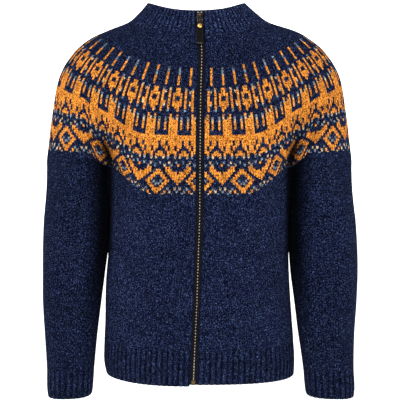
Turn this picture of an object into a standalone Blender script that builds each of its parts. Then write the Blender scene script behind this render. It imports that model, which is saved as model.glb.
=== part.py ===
"""Zip sweater jacket: a round-yoke knitted cardigan with a full front zip, as it hangs when worn.

Metres, +Z up, the front faces -Y.  The origin is at the base of the neck, between the shoulders.
Left and right are the wearer's: the wearer's right side is at -X.

Every wall of the cloth is read from three surfaces that share their edges: the ring surface of
the collar and the yoke, the body tube and a tube for each sleeve.  A surface is walked by a
station, which says where a point is around it, and by a level, which says how far down it is:
0 top of the collar, 1 neck seam, 2 lower edge of the yoke, 3 seam of the rib, 4 hem or cuff edge.
"""

import math
from collections import namedtuple

import bmesh
import bpy
from mathutils import Matrix, Vector

# Cloth
WALL = 0.0036
SEAM_GAP = 0.0003
RIB_RELIEF = 0.0014
RIB_RIDGE_START = 0.20
RIB_RIDGE_END = 0.80

# Ribs of each banded edge
COLLAR_RIBS = 56
HEM_BACK_RIBS = 46
HEM_FRONT_RIBS = 23
CUFF_RIBS = 26

# Levels of the seams
TOP_LEVEL = 0.0
NECK_LEVEL = 1.0
YOKE_LEVEL = 2.0
RIB_LEVEL = 3.0
EDGE_LEVEL = 4.0

# Angle on the yoke's rings at which the sleeve parts from the body, degrees from the zip
UNDERARM_ANGLE = 35.6
FULL_TURN_HALF = 180.0
SIDE_ANGLE = 90.0

# Height of the rib seams and of the open edges
HEM_SEAM_Z = -0.584
HEM_FRONT_Z = -0.6475
HEM_RIGHT_SIDE_Z = -0.6455
HEM_LEFT_SIDE_Z = -0.6485
HEM_BACK_Z = -0.6455
RIGHT_FRONT_DROP = 0.0028
CUFF_SEAM_Z = -0.6365
CUFF_INNER_Z = -0.6865
CUFF_OUTER_Z = -0.6915

# How far below the yoke a tube takes to reach its own section
BODY_EASE = 0.110
SLEEVE_EASE = 0.120
BODY_SIDE_SQUARE = 2.5
SLEEVE_INNER_SQUARE = 2.9
SLEEVE_OUTER_SQUARE = 2.15

# Zip
CHANNEL_HALF = 0.0080
TAPE_HALF = 0.0140
TAPE_THICK = 0.0008
TAPE_SLIT_HALF = 0.00075
TAPE_SPREAD_HALF = 0.0028
CHAIN_HALF = 0.0024
CHAIN_THICK = 0.0014
CHAIN_START_LEVEL = 0.40
TAPE_SPREAD_LEVEL = 0.20

# Rings of the collar and the yoke.  The zip side is the front; half_width is to each side of shift.
# crease is how deep the fold over the armpit is, crease_angle where it lies on the ring.
Ring = namedtuple("Ring", "level front_z side_z back_z half_width shift front back square scoop "
                          "crease crease_angle")
RINGS = (
    Ring(0.00, 0.0335, 0.0515, 0.0430, 0.0910, -0.0075, 0.068, 0.066, 2.00, 0.00, 0.000, 35.6),
    Ring(0.50, 0.0140, 0.0330, 0.0280, 0.1095, -0.0050, 0.076, 0.077, 2.00, 0.00, 0.000, 35.6),
    Ring(1.00, -0.0080, 0.0140, 0.0100, 0.1350, -0.0030, 0.084, 0.089, 2.00, 0.00, 0.000, 36.0),
    Ring(1.20, -0.0450, 0.0000, -0.0200, 0.1750, 0.0010, 0.097, 0.104, 2.00, 0.00, 0.000, 38.0),
    Ring(1.40, -0.0850, -0.0150, -0.0600, 0.2050, -0.0010, 0.107, 0.113, 2.03, 0.05, 0.000, 41.0),
    Ring(1.55, -0.1250, -0.0400, -0.1000, 0.2350, -0.0015, 0.113, 0.118, 2.06, 0.25, 0.001, 43.0),
    Ring(1.70, -0.1700, -0.0850, -0.1480, 0.2625, -0.0015, 0.117, 0.120, 2.10, 0.50, 0.007, 44.0),
    Ring(1.85, -0.2250, -0.1550, -0.2070, 0.2765, -0.0020, 0.119, 0.120, 2.08, 0.75, 0.024, 41.0),
    Ring(2.00, -0.2980, -0.2415, -0.2850, 0.2880, -0.0020, 0.120, 0.118, 2.00, 1.00, 0.052, 35.6),
)
CREASE_WIDTH_ANGLE = 7.5
SCOOP_START_ANGLE = 16.0
SCOOP_OUTER_ANGLE = 80.0
SCOOP_OUTER_SHARE = 0.177

# Sections of the body tube
Section = namedtuple("Section", "z right_edge left_edge front back square")
BODY = (
    Section(-0.245, -0.1690, 0.1665, 0.119, 0.117, 2.50),
    Section(-0.323, -0.1695, 0.1665, 0.118, 0.114, 2.45),
    Section(-0.400, -0.1730, 0.1665, 0.117, 0.112, 2.40),
    Section(-0.475, -0.1795, 0.1695, 0.117, 0.112, 2.35),
    Section(-0.551, -0.1815, 0.1750, 0.117, 0.114, 2.30),
    Section(-0.600, -0.1840, 0.1790, 0.117, 0.115, 2.35),
    Section(-0.625, -0.1840, 0.1800, 0.117, 0.115, 2.40),
    Section(-0.650, -0.1790, 0.1790, 0.115, 0.112, 2.45),
)

# Sections of the sleeve tubes; each x is given for the side that it is on
Sleeve = namedtuple("Sleeve", "z right_inner right_outer left_inner left_outer middle half_depth")
SLEEVES = (
    Sleeve(-0.245, -0.1705, -0.2900, 0.1680, 0.2870, 0.000, 0.0700),
    Sleeve(-0.323, -0.1718, -0.2950, 0.1690, 0.2920, 0.001, 0.0660),
    Sleeve(-0.399, -0.1752, -0.2990, 0.1692, 0.2980, 0.002, 0.0630),
    Sleeve(-0.456, -0.1825, -0.3000, 0.1728, 0.2998, 0.001, 0.0600),
    Sleeve(-0.513, -0.1900, -0.3000, 0.1803, 0.2978, -0.002, 0.0570),
    Sleeve(-0.570, -0.1972, -0.2968, 0.1873, 0.2940, -0.006, 0.0530),
    Sleeve(-0.608, -0.2010, -0.2945, 0.1930, 0.2930, -0.009, 0.0490),
    Sleeve(-0.6365, -0.2035, -0.2930, 0.1970, 0.2930, -0.011, 0.0460),
    Sleeve(-0.675, -0.2060, -0.2930, 0.2005, 0.2950, -0.013, 0.0435),
    Sleeve(-0.692, -0.2085, -0.2912, 0.2030, 0.2938, -0.014, 0.0415),
)

# Where the middle of the zip runs
ZipPoint = namedtuple("ZipPoint", "z x")
ZIP_LINE = (
    ZipPoint(0.040, -0.0010),
    ZipPoint(0.005, -0.0008),
    ZipPoint(-0.018, 0.0012),
    ZipPoint(-0.045, 0.0026),
    ZipPoint(-0.130, 0.0004),
    ZipPoint(-0.300, -0.0010),
    ZipPoint(-0.400, -0.0034),
    ZipPoint(-0.480, -0.0058),
    ZipPoint(-0.560, -0.0092),
    ZipPoint(-0.650, -0.0130),
)

# Rise of the underarm's edge that stands in for the cloth above it, for each level
UNDERARM_RISE = 0.3

# Stations around the half of a ring, from the zip to the middle of the back
FRONT_ANGLES = (0.0, 7.0, 14.0, 20.0, 25.5, 30.0, 33.4, UNDERARM_ANGLE)
SLEEVE_ANGLES = (UNDERARM_ANGLE, 38.6, 42.5, 48.0, 56.0, 66.0, 78.0, 90.0,
                 102.0, 114.0, 124.0, 132.0, 137.5, 141.4, 144.4)
BACK_ANGLES = (144.4, 146.6, 150.0, 154.5, 160.0, 166.0, 173.0, 180.0)
UNDERARM_SHARES = (0.0, 0.22, 0.5, 0.78, 1.0)

# Rows of each piece
COLLAR_LEVELS = (0.0, 0.5, 1.0)
YOKE_LEVELS = (1.0, 1.1, 1.2, 1.3, 1.4, 1.475, 1.55, 1.625, 1.7, 1.775, 1.85, 1.925, 2.0)
BODY_LEVELS = (2.0, 2.05, 2.12, 2.22, 2.36, 2.52, 2.68, 2.84, 3.0)
SLEEVE_LEVELS = (2.0, 2.04, 2.09, 2.16, 2.25, 2.36, 2.48, 2.60, 2.73, 2.86, 3.0)
RIB_LEVELS = (3.0, 3.55, 4.0)

# Slider and pull.  Lengths run down the zip from the slider's middle, heights stand off the cloth.
SLIDER_LEVEL = 0.315
SLIDER_TOP = -0.0100
SLIDER_SHOULDER = -0.0030
SLIDER_FOOT = 0.0100
SLIDER_TOP_HALF = 0.0062
SLIDER_FOOT_HALF = 0.0046
PLATE_THICK = 0.0014
POST_HALF = 0.0018
POST_START = -0.0090
POST_END = -0.0052
ARCH_START = -0.0045
ARCH_END = 0.0060
ARCH_HALF = 0.0015
ARCH_THICK = 0.0014
ARCH_CHAMFER = 0.0002
PLATE_BEVEL = 0.0004
PLATE_CORNER = 0.0022
FUSE_DEPTH = 0.0005
PIVOT_DOWN = 0.0035
PIVOT_HEIGHT = 0.0006
PIVOT_PLAY = 0.0004
LINK_BAR_RADIUS = 0.0008
LINK_BEVEL = 0.00035
LINK_HALF = 0.0044
LINK_HOLE_HALF = 0.0027
LINK_HOLE_END = 0.0095
LINK_END = 0.0195
TAB_START = 0.0105
TAB_END = 0.0500
TAB_TOP_HALF = 0.0062
TAB_FOOT_HALF = 0.0068
TAB_THICK = 0.0024
TAB_BEVEL = 0.0005
TAB_CORNER = 0.0028
RIVET_DOWN = 0.0150
RIVET_HEAD_RADIUS = 0.0043
RIVET_HEAD_HIGH = 0.0011
RIVET_SHANK_RADIUS = 0.0014
RIVET_BACK_RADIUS = 0.0024
RIVET_BACK_HIGH = 0.0006
RIVET_RIM_SHARE = 0.40
RIVET_CROWN_SHARE = 0.85
RIVET_CROWN_RADIUS_SHARE = 0.72
ROUND_STEPS = 16
BOX_HALF = 0.0034
BOX_LENGTH = 0.0085
BOX_THICK = 0.0016

# Step of the differences that give a surface its normal
LEVEL_STEP = 0.012

# Edges that turn more than this stay crisp, degrees
SHARP_ANGLE = 38.0

RIGHT = -1
LEFT = 1

Station = namedtuple("Station", "part side value")
NO_NEIGHBOUR = (None, None)
UNDERARM_CORNERS = (UNDERARM_ANGLE, FULL_TURN_HALF - UNDERARM_ANGLE)


def smooth(start, end, value):
    """0 before start, 1 after end, and a soft step between."""
    share = min(1.0, max(0.0, (value - start) / (end - start)))
    return share * share * (3.0 - 2.0 * share)


def blend(first, second, share):
    return first + (second - first) * share


def through(rows, key, names, value):
    """The named columns of a table at a value of its key column, on a smooth curve through the rows."""
    keys = [getattr(row, key) for row in rows]
    rising = keys[-1] > keys[0]
    low, high = min(keys), max(keys)
    value = min(high, max(low, value))
    last = len(rows) - 2
    index = 0
    while index < last and ((value > keys[index + 1]) if rising else (value < keys[index + 1])):
        index += 1
    span = keys[index + 1] - keys[index]
    share = (value - keys[index]) / span
    square, cube = share * share, share ** 3
    result = []
    for name in names:
        values = [getattr(row, name) for row in rows]
        before, after = max(index - 1, 0), min(index + 2, len(rows) - 1)
        start_slope = (values[index + 1] - values[before]) / (keys[index + 1] - keys[before])
        end_slope = (values[after] - values[index]) / (keys[after] - keys[index])
        result.append((2 * cube - 3 * square + 1) * values[index]
                      + (cube - 2 * square + share) * span * start_slope
                      + (3 * square - 2 * cube) * values[index + 1]
                      + (cube - square) * span * end_slope)
    return result


def zip_x(z):
    """Where the middle of the zip is at a height."""
    return through(ZIP_LINE, "z", ("x",), z)[0]


def across(side, share, centre, half_width, z, front):
    """The x of a point whose share of the half width is given; the front parts at the zip."""
    if not front:
        return centre + side * half_width * share
    lean = (zip_x(z) - centre) * (1.0 - share) ** 2
    return centre + side * (CHANNEL_HALF + (half_width - CHANNEL_HALF) * share) + lean


def drop_share(angle, scoop):
    """How much of the front's or back's drop a ring has at an angle from its middle."""
    round_share = math.cos(math.radians(angle)) ** 2
    inner = (1.0 - SCOOP_OUTER_SHARE) * (1.0 - smooth(SCOOP_START_ANGLE, UNDERARM_ANGLE, angle))
    outer = SCOOP_OUTER_SHARE * (1.0 - smooth(UNDERARM_ANGLE, SCOOP_OUTER_ANGLE, angle))
    return blend(round_share, inner + outer, scoop)


def led_angle(angle, crease_angle):
    """Leads the stations aside so that the underarm's station runs along the fold."""
    share = math.sin(2 * math.radians(angle)) ** 2 / math.sin(2 * math.radians(UNDERARM_ANGLE)) ** 2
    return angle + (crease_angle - UNDERARM_ANGLE) * share


def ring_point(side, angle, level):
    """A point on the ring surface of the collar and the yoke."""
    names = Ring._fields[1:]
    row = Ring(level, *through(RINGS, "level", names, level))
    front = angle <= SIDE_ANGLE
    from_middle = angle if front else FULL_TURN_HALF - angle
    depth = row.front if front else row.back
    middle_z = row.front_z if front else row.back_z
    radians = math.radians(led_angle(from_middle, row.crease_angle))
    power = 2.0 / row.square
    z = row.side_z + (middle_z - row.side_z) * drop_share(from_middle, row.scoop)
    x = across(side, math.sin(radians) ** power, row.shift, row.half_width, z, front)
    offset = (from_middle - UNDERARM_ANGLE) / CREASE_WIDTH_ANGLE
    depth_here = depth * max(math.cos(radians), 0.0) ** power - row.crease * math.exp(-offset * offset)
    return Vector((x, -depth_here if front else depth_here, z))


def underarm_point(side, share, toward_sleeve):
    """A point of the line under the arm where the body and the sleeve part, from front to back."""
    front = ring_point(side, UNDERARM_ANGLE, YOKE_LEVEL)
    back = ring_point(side, FULL_TURN_HALF - UNDERARM_ANGLE, YOKE_LEVEL)
    point = front.lerp(back, share)
    apart = SEAM_GAP / 2 if toward_sleeve else -SEAM_GAP / 2
    inside = 4.0 * share * (1.0 - share)
    point.x += side * apart * min(1.0, 4.0 * inside)
    return point


def top_point(station, toward_sleeve):
    """The point of a tube's upper edge at a station."""
    if station.part == "underarm":
        return underarm_point(station.side, station.value, toward_sleeve)
    return ring_point(station.side, station.value, YOKE_LEVEL)


def section_turn(across_share, depth_share, square):
    """The angle of a squared section at which a point lies, from the front over the outer side."""
    wide = math.copysign(abs(across_share) ** (square / 2.0), across_share)
    deep = math.copysign(abs(depth_share) ** (square / 2.0), depth_share)
    return math.atan2(wide, deep)


def signed_power(value, square):
    return math.copysign(abs(value) ** (2.0 / square), value)


def body_section(side, turn, z):
    """The point of the body's own section at a height."""
    right_edge, left_edge, front, back, square = through(BODY, "z", Section._fields[1:], z)
    centre = (left_edge + right_edge) / 2
    half_width = (left_edge - right_edge) / 2
    wide = signed_power(math.sin(turn), square)
    deep = signed_power(math.cos(turn), square)
    is_front = deep >= 0.0
    x = across(side, wide, centre, half_width, z, is_front)
    return Vector((x, -front * deep if is_front else -back * deep, z))


def body_turn(station):
    """Where a station of the body lies on its section."""
    top = top_point(station, False)
    right_edge, left_edge, front, back, square = through(BODY, "z", Section._fields[1:], top.z)
    centre = (left_edge + right_edge) / 2
    half_width = (left_edge - right_edge) / 2
    is_front = top.y <= 0.0
    wide = station.side * (top.x - centre) / half_width
    if is_front:
        wide = (wide * half_width - CHANNEL_HALF) / (half_width - CHANNEL_HALF)
    if station.part == "front" and station.value == 0.0:
        wide = 0.0
    deep = -top.y / (front if is_front else back)
    return section_turn(min(1.0, max(wide, 0.0)), deep, square)


def hem_z(station):
    """How low the hem is at a station."""
    turn = body_turn(station)
    middle = HEM_FRONT_Z if math.cos(turn) > 0 else HEM_BACK_Z
    if station.side == RIGHT and math.cos(turn) > 0:
        middle -= RIGHT_FRONT_DROP
    side_z = HEM_RIGHT_SIDE_Z if station.side == RIGHT else HEM_LEFT_SIDE_Z
    return blend(side_z, middle, math.cos(turn) ** 2)


def body_point(station, level):
    """A point of the body tube; above the yoke's edge it follows the yoke."""
    if level < YOKE_LEVEL:
        if station.part == "underarm":
            return top_point(station, False) + Vector((0, 0, (YOKE_LEVEL - level) * UNDERARM_RISE))
        return ring_point(station.side, station.value, level)
    top = top_point(station, False)
    if level <= RIB_LEVEL:
        z = blend(top.z, HEM_SEAM_Z, level - YOKE_LEVEL)
    else:
        z = blend(HEM_SEAM_Z, hem_z(station), level - RIB_LEVEL)
    section = body_section(station.side, body_turn(station), z)
    share = smooth(0.0, BODY_EASE, top.z - z)
    top.z = z
    return top.lerp(section, share)


def sleeve_columns(side, z):
    """The middle, half width, middle depth and half depth of a sleeve at a height."""
    values = through(SLEEVES, "z", Sleeve._fields[1:], z)
    row = Sleeve(z, *values)
    inner = row.right_inner if side == RIGHT else row.left_inner
    outer = row.right_outer if side == RIGHT else row.left_outer
    return (inner + outer) / 2, abs(outer - inner) / 2, row.middle, row.half_depth


def sleeve_square(across_share):
    return SLEEVE_OUTER_SQUARE if across_share > 0.0 else SLEEVE_INNER_SQUARE


def sleeve_turn(station):
    """Where a station of the sleeve lies on its section."""
    top = top_point(station, True)
    centre, half_width, middle, half_depth = sleeve_columns(station.side, top.z)
    wide = station.side * (top.x - centre) / half_width
    deep = -(top.y - middle) / half_depth
    return section_turn(min(1.0, max(-1.0, wide)), deep, sleeve_square(wide))


def sleeve_point(station, level):
    """A point of a sleeve's tube; above the yoke's edge it follows the yoke."""
    if level < YOKE_LEVEL:
        if station.part == "underarm":
            return top_point(station, True) + Vector((0, 0, (YOKE_LEVEL - level) * UNDERARM_RISE))
        return ring_point(station.side, station.value, level)
    top = top_point(station, True)
    turn = sleeve_turn(station)
    outer_share = (1.0 + math.sin(turn)) / 2
    if level <= RIB_LEVEL:
        z = blend(top.z, CUFF_SEAM_Z, level - YOKE_LEVEL)
    else:
        edge_z = blend(CUFF_INNER_Z, CUFF_OUTER_Z, outer_share)
        z = blend(CUFF_SEAM_Z, edge_z, level - RIB_LEVEL)
    centre, half_width, middle, half_depth = sleeve_columns(station.side, z)
    wide, deep = math.sin(turn), math.cos(turn)
    square = sleeve_square(wide)
    x = centre + station.side * half_width * signed_power(wide, square)
    y = middle - half_depth * signed_power(deep, square)
    share = smooth(0.0, SLEEVE_EASE, top.z - z)
    top.z = z
    return top.lerp(Vector((x, y, z)), share)


def yoke_point(station, level):
    """A point of the yoke; below its edge it follows the body or the sleeve."""
    if level <= YOKE_LEVEL or station.value in UNDERARM_CORNERS:
        return ring_point(station.side, station.value, level)
    if UNDERARM_CORNERS[0] < station.value < UNDERARM_CORNERS[1]:
        return sleeve_point(Station("sleeve", station.side, station.value), level)
    return body_point(Station("front", station.side, station.value), level)


def stations_of(part, side, values):
    return [Station(part, side, value) for value in values]


def yoke_half(side):
    values = FRONT_ANGLES + SLEEVE_ANGLES[1:] + BACK_ANGLES[1:]
    return stations_of("yoke", side, values)


def yoke_stations():
    return yoke_half(RIGHT) + yoke_half(LEFT)[-2::-1]


def front_stations(side):
    middle = UNDERARM_SHARES.index(0.5)
    under = stations_of("underarm", side, UNDERARM_SHARES[1:middle + 1])
    return stations_of("front", side, FRONT_ANGLES) + under


def back_stations():
    middle = UNDERARM_SHARES.index(0.5)
    halves = []
    for side in (RIGHT, LEFT):
        under = stations_of("underarm", side, UNDERARM_SHARES[middle:-1])
        halves.append(under + stations_of("back", side, BACK_ANGLES))
    return halves[0] + halves[1][-2::-1]


def side_seam_neighbour(side, step):
    """The underarm station next to the side seam, toward the back for 1 or the front for -1."""
    middle = UNDERARM_SHARES.index(0.5)
    return Station("underarm", side, UNDERARM_SHARES[middle + step])


def sleeve_stations(side):
    """Around the sleeve once, the last station next to the first."""
    under = stations_of("underarm", side, UNDERARM_SHARES[-2:0:-1])
    return stations_of("sleeve", side, SLEEVE_ANGLES) + under


def neighbours(stations, index, closed, beyond):
    """The stations before and after one; beyond holds the next piece's, past each end."""
    count = len(stations)
    if closed:
        return stations[index - 1], stations[(index + 1) % count]
    before = stations[index - 1] if index > 0 else beyond[0]
    after = stations[index + 1] if index < count - 1 else beyond[1]
    return before, after


def toward(surface, station, other, level):
    """A point a little way from a station to its neighbour."""
    here = surface(station, level)
    if other is None:
        return here
    return here.lerp(surface(other, level), 0.5)


def grid(surface, stations, levels, closed=False, beyond=NO_NEIGHBOUR):
    """Points and outward normals of a surface: one row for each level."""
    points = []
    normals = []
    for level in levels:
        above = max(level - LEVEL_STEP, TOP_LEVEL)
        below = min(level + LEVEL_STEP, EDGE_LEVEL)
        row_points = [surface(station, level) for station in stations]
        row_normals = []
        for index, station in enumerate(stations):
            before, after = neighbours(stations, index, closed, beyond)
            before_point = toward(surface, station, before, level)
            after_point = toward(surface, station, after, level)
            along = (after_point - before_point).normalized()
            down = (surface(station, below) - surface(station, above)).normalized()
            row_normals.append(along.cross(down).normalized())
        points.append(row_points)
        normals.append(row_normals)
    return points, normals


def flip_if_inward(points, normals, centre):
    """Turns the normals round where the stations run the other way about the centre."""
    outward = 0.0
    for row_points, row_normals in zip(points, normals):
        for point, normal in zip(row_points, row_normals):
            outward += (Vector((point.x, point.y, 0)) - Vector((centre[0], centre[1], 0))).dot(normal)
    if outward < 0:
        for row in normals:
            for index, normal in enumerate(row):
                row[index] = -normal


def draw_in(points, closed):
    """Moves the edges of a piece in by half of the seam's gap."""
    half = SEAM_GAP / 2
    for edge, next_row in ((0, 1), (-1, -2)):
        for index, point in enumerate(points[edge]):
            step = (points[next_row][index] - point).normalized()
            points[edge][index] = point + step * half
    if closed:
        return
    for row in points:
        row[0] = row[0] + (row[1] - row[0]).normalized() * half
        row[-1] = row[-1] + (row[-2] - row[-1]).normalized() * half


def material(name, colour, roughness, metallic=0.0):
    """A plain finish for one kind of material."""
    finish = bpy.data.materials.get(name)
    if finish:
        return finish
    finish = bpy.data.materials.new(name)
    finish.use_nodes = True
    shader = finish.node_tree.nodes["Principled BSDF"]
    shader.inputs["Base Color"].default_value = (*colour, 1.0)
    shader.inputs["Roughness"].default_value = roughness
    shader.inputs["Metallic"].default_value = metallic
    return finish


def navy_wool():
    return material("navy_wool", (0.013, 0.019, 0.052), 0.92)


def pattern_wool():
    return material("pattern_wool", (0.35, 0.17, 0.07), 0.92)


def black_tape():
    return material("black_tape", (0.012, 0.012, 0.015), 0.75)


def dark_bronze():
    return material("dark_bronze", (0.075, 0.06, 0.045), 0.38, 0.9)


def aged_brass():
    return material("aged_brass", (0.60, 0.36, 0.12), 0.32, 1.0)


def black_leather():
    return material("black_leather", (0.013, 0.013, 0.014), 0.55)


def new_object(name, shape, finish):
    """An object from a bmesh."""
    mesh = bpy.data.meshes.new(name)
    shape.to_mesh(mesh)
    shape.free()
    piece = bpy.data.objects.new(name, mesh)
    bpy.context.scene.collection.objects.link(piece)
    mesh.materials.append(finish)
    mesh.shade_smooth()
    mesh.set_sharp_from_angle(angle=math.radians(SHARP_ANGLE))
    return piece


def rows_of_verts(shape, rows):
    return [[shape.verts.new(point) for point in row] for row in rows]


def skin(shape, rows, closed, reverse):
    """Quads between the rows of vertices."""
    for upper, lower in zip(rows, rows[1:]):
        count = len(upper)
        for index in range(count if closed else count - 1):
            after = (index + 1) % count
            corners = [upper[index], upper[after], lower[after], lower[index]]
            shape.faces.new(corners[::-1] if reverse else corners)


def edge_faces(fan, inner_pair, into):
    """The corners of an edge's faces; a twisted quad is parted along the diagonal that lies inside."""
    if len(fan) > 2:
        return [fan + inner_pair]
    start, end = fan
    inner_end, inner_start = inner_pair
    rising = (start.co + inner_end.co).dot(into)
    falling = (end.co + inner_start.co).dot(into)
    if rising > falling:
        return [[start, end, inner_end], [start, inner_end, inner_start]]
    return [[start, end, inner_start], [end, inner_end, inner_start]]


def close_edge(shape, outer, inner, next_row, closed, reverse):
    """Faces from an outer row to an inner one, which has one vertex for each few outer ones."""
    per_inner = round(len(outer) / len(inner))
    spans = len(inner) if closed else len(inner) - 1
    for index in range(spans):
        first = index * per_inner
        fan = [outer[(first + step) % len(outer)] for step in range(per_inner + 1)]
        into = next_row[first].co - outer[first].co
        for corners in edge_faces(fan, [inner[(index + 1) % len(inner)], inner[index]], into):
            shape.faces.new(corners[::-1] if reverse else corners)


def wall(name, outer, inner, finish, closed=False):
    """A closed piece of cloth from its outer and its inner rows of points."""
    shape = bmesh.new()
    outer_rows = rows_of_verts(shape, outer)
    inner_rows = rows_of_verts(shape, inner)
    skin(shape, outer_rows, closed, False)
    skin(shape, inner_rows, closed, True)
    close_edge(shape, outer_rows[0], inner_rows[0], outer_rows[1], closed, True)
    close_edge(shape, outer_rows[-1], inner_rows[-1], outer_rows[-2], closed, False)
    if not closed:
        for end in (0, -1):
            for row in range(len(outer_rows) - 1):
                shape.faces.new((outer_rows[row][end], outer_rows[row + 1][end],
                                 inner_rows[row + 1][end], inner_rows[row][end]))
    bmesh.ops.recalc_face_normals(shape, faces=shape.faces)
    return new_object(name, shape, finish)


def plain_piece(name, surface, stations, levels, finish, centre=(0.0, 0.0), closed=False,
                beyond=NO_NEIGHBOUR):
    """A smooth panel of cloth."""
    points, normals = grid(surface, stations, levels, closed, beyond)
    flip_if_inward(points, normals, centre)
    draw_in(points, closed)
    inner = [[point - normal * WALL for point, normal in zip(*rows)] for rows in zip(points, normals)]
    return wall(name, points, inner, finish, closed=closed)


def arc_places(row, count, closed):
    """Places along a row, as an index and a share to the next, that part its length evenly."""
    ring = row + [row[0]] if closed else row
    lengths = [0.0]
    for first, second in zip(ring, ring[1:]):
        lengths.append(lengths[-1] + (second - first).length)
    places = []
    steps = count if closed else count + 1
    for step in range(steps):
        target = lengths[-1] * step / count
        index = 0
        while index < len(lengths) - 2 and lengths[index + 1] < target:
            index += 1
        share = (target - lengths[index]) / (lengths[index + 1] - lengths[index])
        places.append(index + share)
    return places


def at_place(row, place):
    """The value part of the way along a row."""
    count = len(row)
    index = int(math.floor(place))
    share = place - index
    if share < 1e-9:
        return row[index % count].copy()
    return row[index % count].lerp(row[(index + 1) % count], share)


def rib_places(row, ribs, closed):
    """Three places for each rib: the valley before it and the two shoulders of its ridge."""
    valleys = arc_places(row, ribs, closed)
    ends = valleys + [float(len(row))] if closed else valleys
    places = []
    for start, end in zip(ends, ends[1:]):
        places.append((start, -RIB_RELIEF))
        places.append((blend(start, end, RIB_RIDGE_START), 0.0))
        places.append((blend(start, end, RIB_RIDGE_END), 0.0))
    if not closed:
        places.append((ends[-1], -RIB_RELIEF))
    return valleys, places


def ribbed_piece(name, surface, stations, levels, ribs, finish, centre=(0.0, 0.0), closed=False,
                 beyond=NO_NEIGHBOUR):
    """A band of one-by-one rib: raised ridges over a plain inside."""
    points, normals = grid(surface, stations, levels, closed, beyond)
    flip_if_inward(points, normals, centre)
    draw_in(points, closed)
    middle = len(levels) // 2
    valleys, places = rib_places(points[middle], ribs, closed)
    outer = []
    inner = []
    for row_points, row_normals in zip(points, normals):
        outer.append([at_place(row_points, place) + at_place(row_normals, place).normalized() * height
                      for place, height in places])
        inner.append([at_place(row_points, place) - at_place(row_normals, place).normalized() * WALL
                      for place in valleys])
    return wall(name, outer, inner, finish, closed=closed)


def cloth():
    """Every knitted piece."""
    ribbed_piece("collar", yoke_point, yoke_stations(), COLLAR_LEVELS, COLLAR_RIBS, navy_wool())
    plain_piece("yoke", yoke_point, yoke_stations(), YOKE_LEVELS, pattern_wool())
    sides = (side_seam_neighbour(RIGHT, -1), side_seam_neighbour(LEFT, -1))
    plain_piece("back", body_point, back_stations(), BODY_LEVELS, navy_wool(), beyond=sides)
    ribbed_piece("hem_rib_back", body_point, back_stations(), RIB_LEVELS, HEM_BACK_RIBS, navy_wool(),
                 beyond=sides)
    for side, word in ((RIGHT, "right"), (LEFT, "left")):
        sleeve_middle = sleeve_columns(side, CUFF_SEAM_Z)[0]
        centre = (sleeve_middle, 0.0)
        front = front_stations(side)
        sleeve = sleeve_stations(side)
        past = (None, side_seam_neighbour(side, 1))
        plain_piece("front_" + word, body_point, front, BODY_LEVELS, navy_wool(), beyond=past)
        ribbed_piece("hem_rib_front_" + word, body_point, front, RIB_LEVELS, HEM_FRONT_RIBS, navy_wool(),
                     beyond=past)
        plain_piece("sleeve_" + word, sleeve_point, sleeve, SLEEVE_LEVELS, navy_wool(), centre, True)
        ribbed_piece("cuff_" + word, sleeve_point, sleeve, RIB_LEVELS, CUFF_RIBS, navy_wool(), centre, True)


def zip_frame(level):
    """A point in the middle of the zip, level with the cloth's outer face."""
    if level <= YOKE_LEVEL:
        points = [ring_point(side, 0.0, level) for side in (RIGHT, LEFT)]
    else:
        points = [body_point(Station("front", side, 0.0), level) for side in (RIGHT, LEFT)]
    return (points[0] + points[1]) / 2


def zip_levels():
    levels = set(COLLAR_LEVELS) | set(YOKE_LEVELS) | set(BODY_LEVELS) | set(RIB_LEVELS)
    levels |= {TAPE_SPREAD_LEVEL, CHAIN_START_LEVEL}
    return sorted(levels)


def zip_rows(levels):
    """The middle of the zip and its outward direction at each level, on the chords of the cloth."""
    knots = sorted(set(levels) - {TAPE_SPREAD_LEVEL, CHAIN_START_LEVEL})
    middles = []
    for level in levels:
        upper = max(knot for knot in knots if knot <= level)
        lower = min(knot for knot in knots if knot >= level)
        share = 0.0 if upper == lower else (level - upper) / (lower - upper)
        middles.append(zip_frame(upper).lerp(zip_frame(lower), share))
    outs = []
    for index in range(len(middles)):
        above = middles[max(index - 1, 0)]
        below = middles[min(index + 1, len(middles) - 1)]
        down = (below - above).normalized()
        outs.append(Vector((1, 0, 0)).cross(down).normalized() * -1.0)
    for out in outs:
        if out.y > 0:
            out.negate()
    return middles, outs


def strip(name, middles, outs, left_edges, right_edges, top, thick, finish):
    """A flat strip along the zip between two lines, with its outer face at a depth."""
    outer = []
    inner = []
    for middle, out, first, second in zip(middles, outs, left_edges, right_edges):
        outer.append([middle + Vector((x, 0, 0)) - out * top for x in (first, second)])
        inner.append([middle + Vector((x, 0, 0)) - out * (top + thick) for x in (first, second)])
    return wall(name, outer, inner, finish)


def zip_fastener():
    """The tapes, the coil chain and the box at the foot."""
    levels = zip_levels()
    middles, outs = zip_rows(levels)
    tape_top = WALL + SEAM_GAP
    slits = []
    for level in levels:
        spread = 1.0 - smooth(TAPE_SPREAD_LEVEL, CHAIN_START_LEVEL, level)
        slits.append(blend(TAPE_SLIT_HALF, TAPE_SPREAD_HALF, spread))
    for side, word in ((RIGHT, "right"), (LEFT, "left")):
        inner_edges = [side * slit for slit in slits]
        outer_edges = [side * TAPE_HALF for slit in slits]
        strip("zip_tape_" + word, middles, outs, inner_edges, outer_edges, tape_top, TAPE_THICK,
              black_tape())
    start = levels.index(CHAIN_START_LEVEL)
    chain_top = tape_top + TAPE_THICK + SEAM_GAP
    count = len(levels) - start
    strip("zip_chain", middles[start:], outs[start:], [-CHAIN_HALF] * count, [CHAIN_HALF] * count,
          chain_top, CHAIN_THICK, dark_bronze())
    foot, above, out = middles[-1], middles[-2], outs[-1]
    up = (above - foot).normalized()
    box_top = foot + up * BOX_LENGTH
    strip("zip_box", [box_top, foot], [out, out], [-BOX_HALF] * 2, [BOX_HALF] * 2,
          tape_top - SEAM_GAP - BOX_THICK, BOX_THICK, aged_brass())


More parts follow.
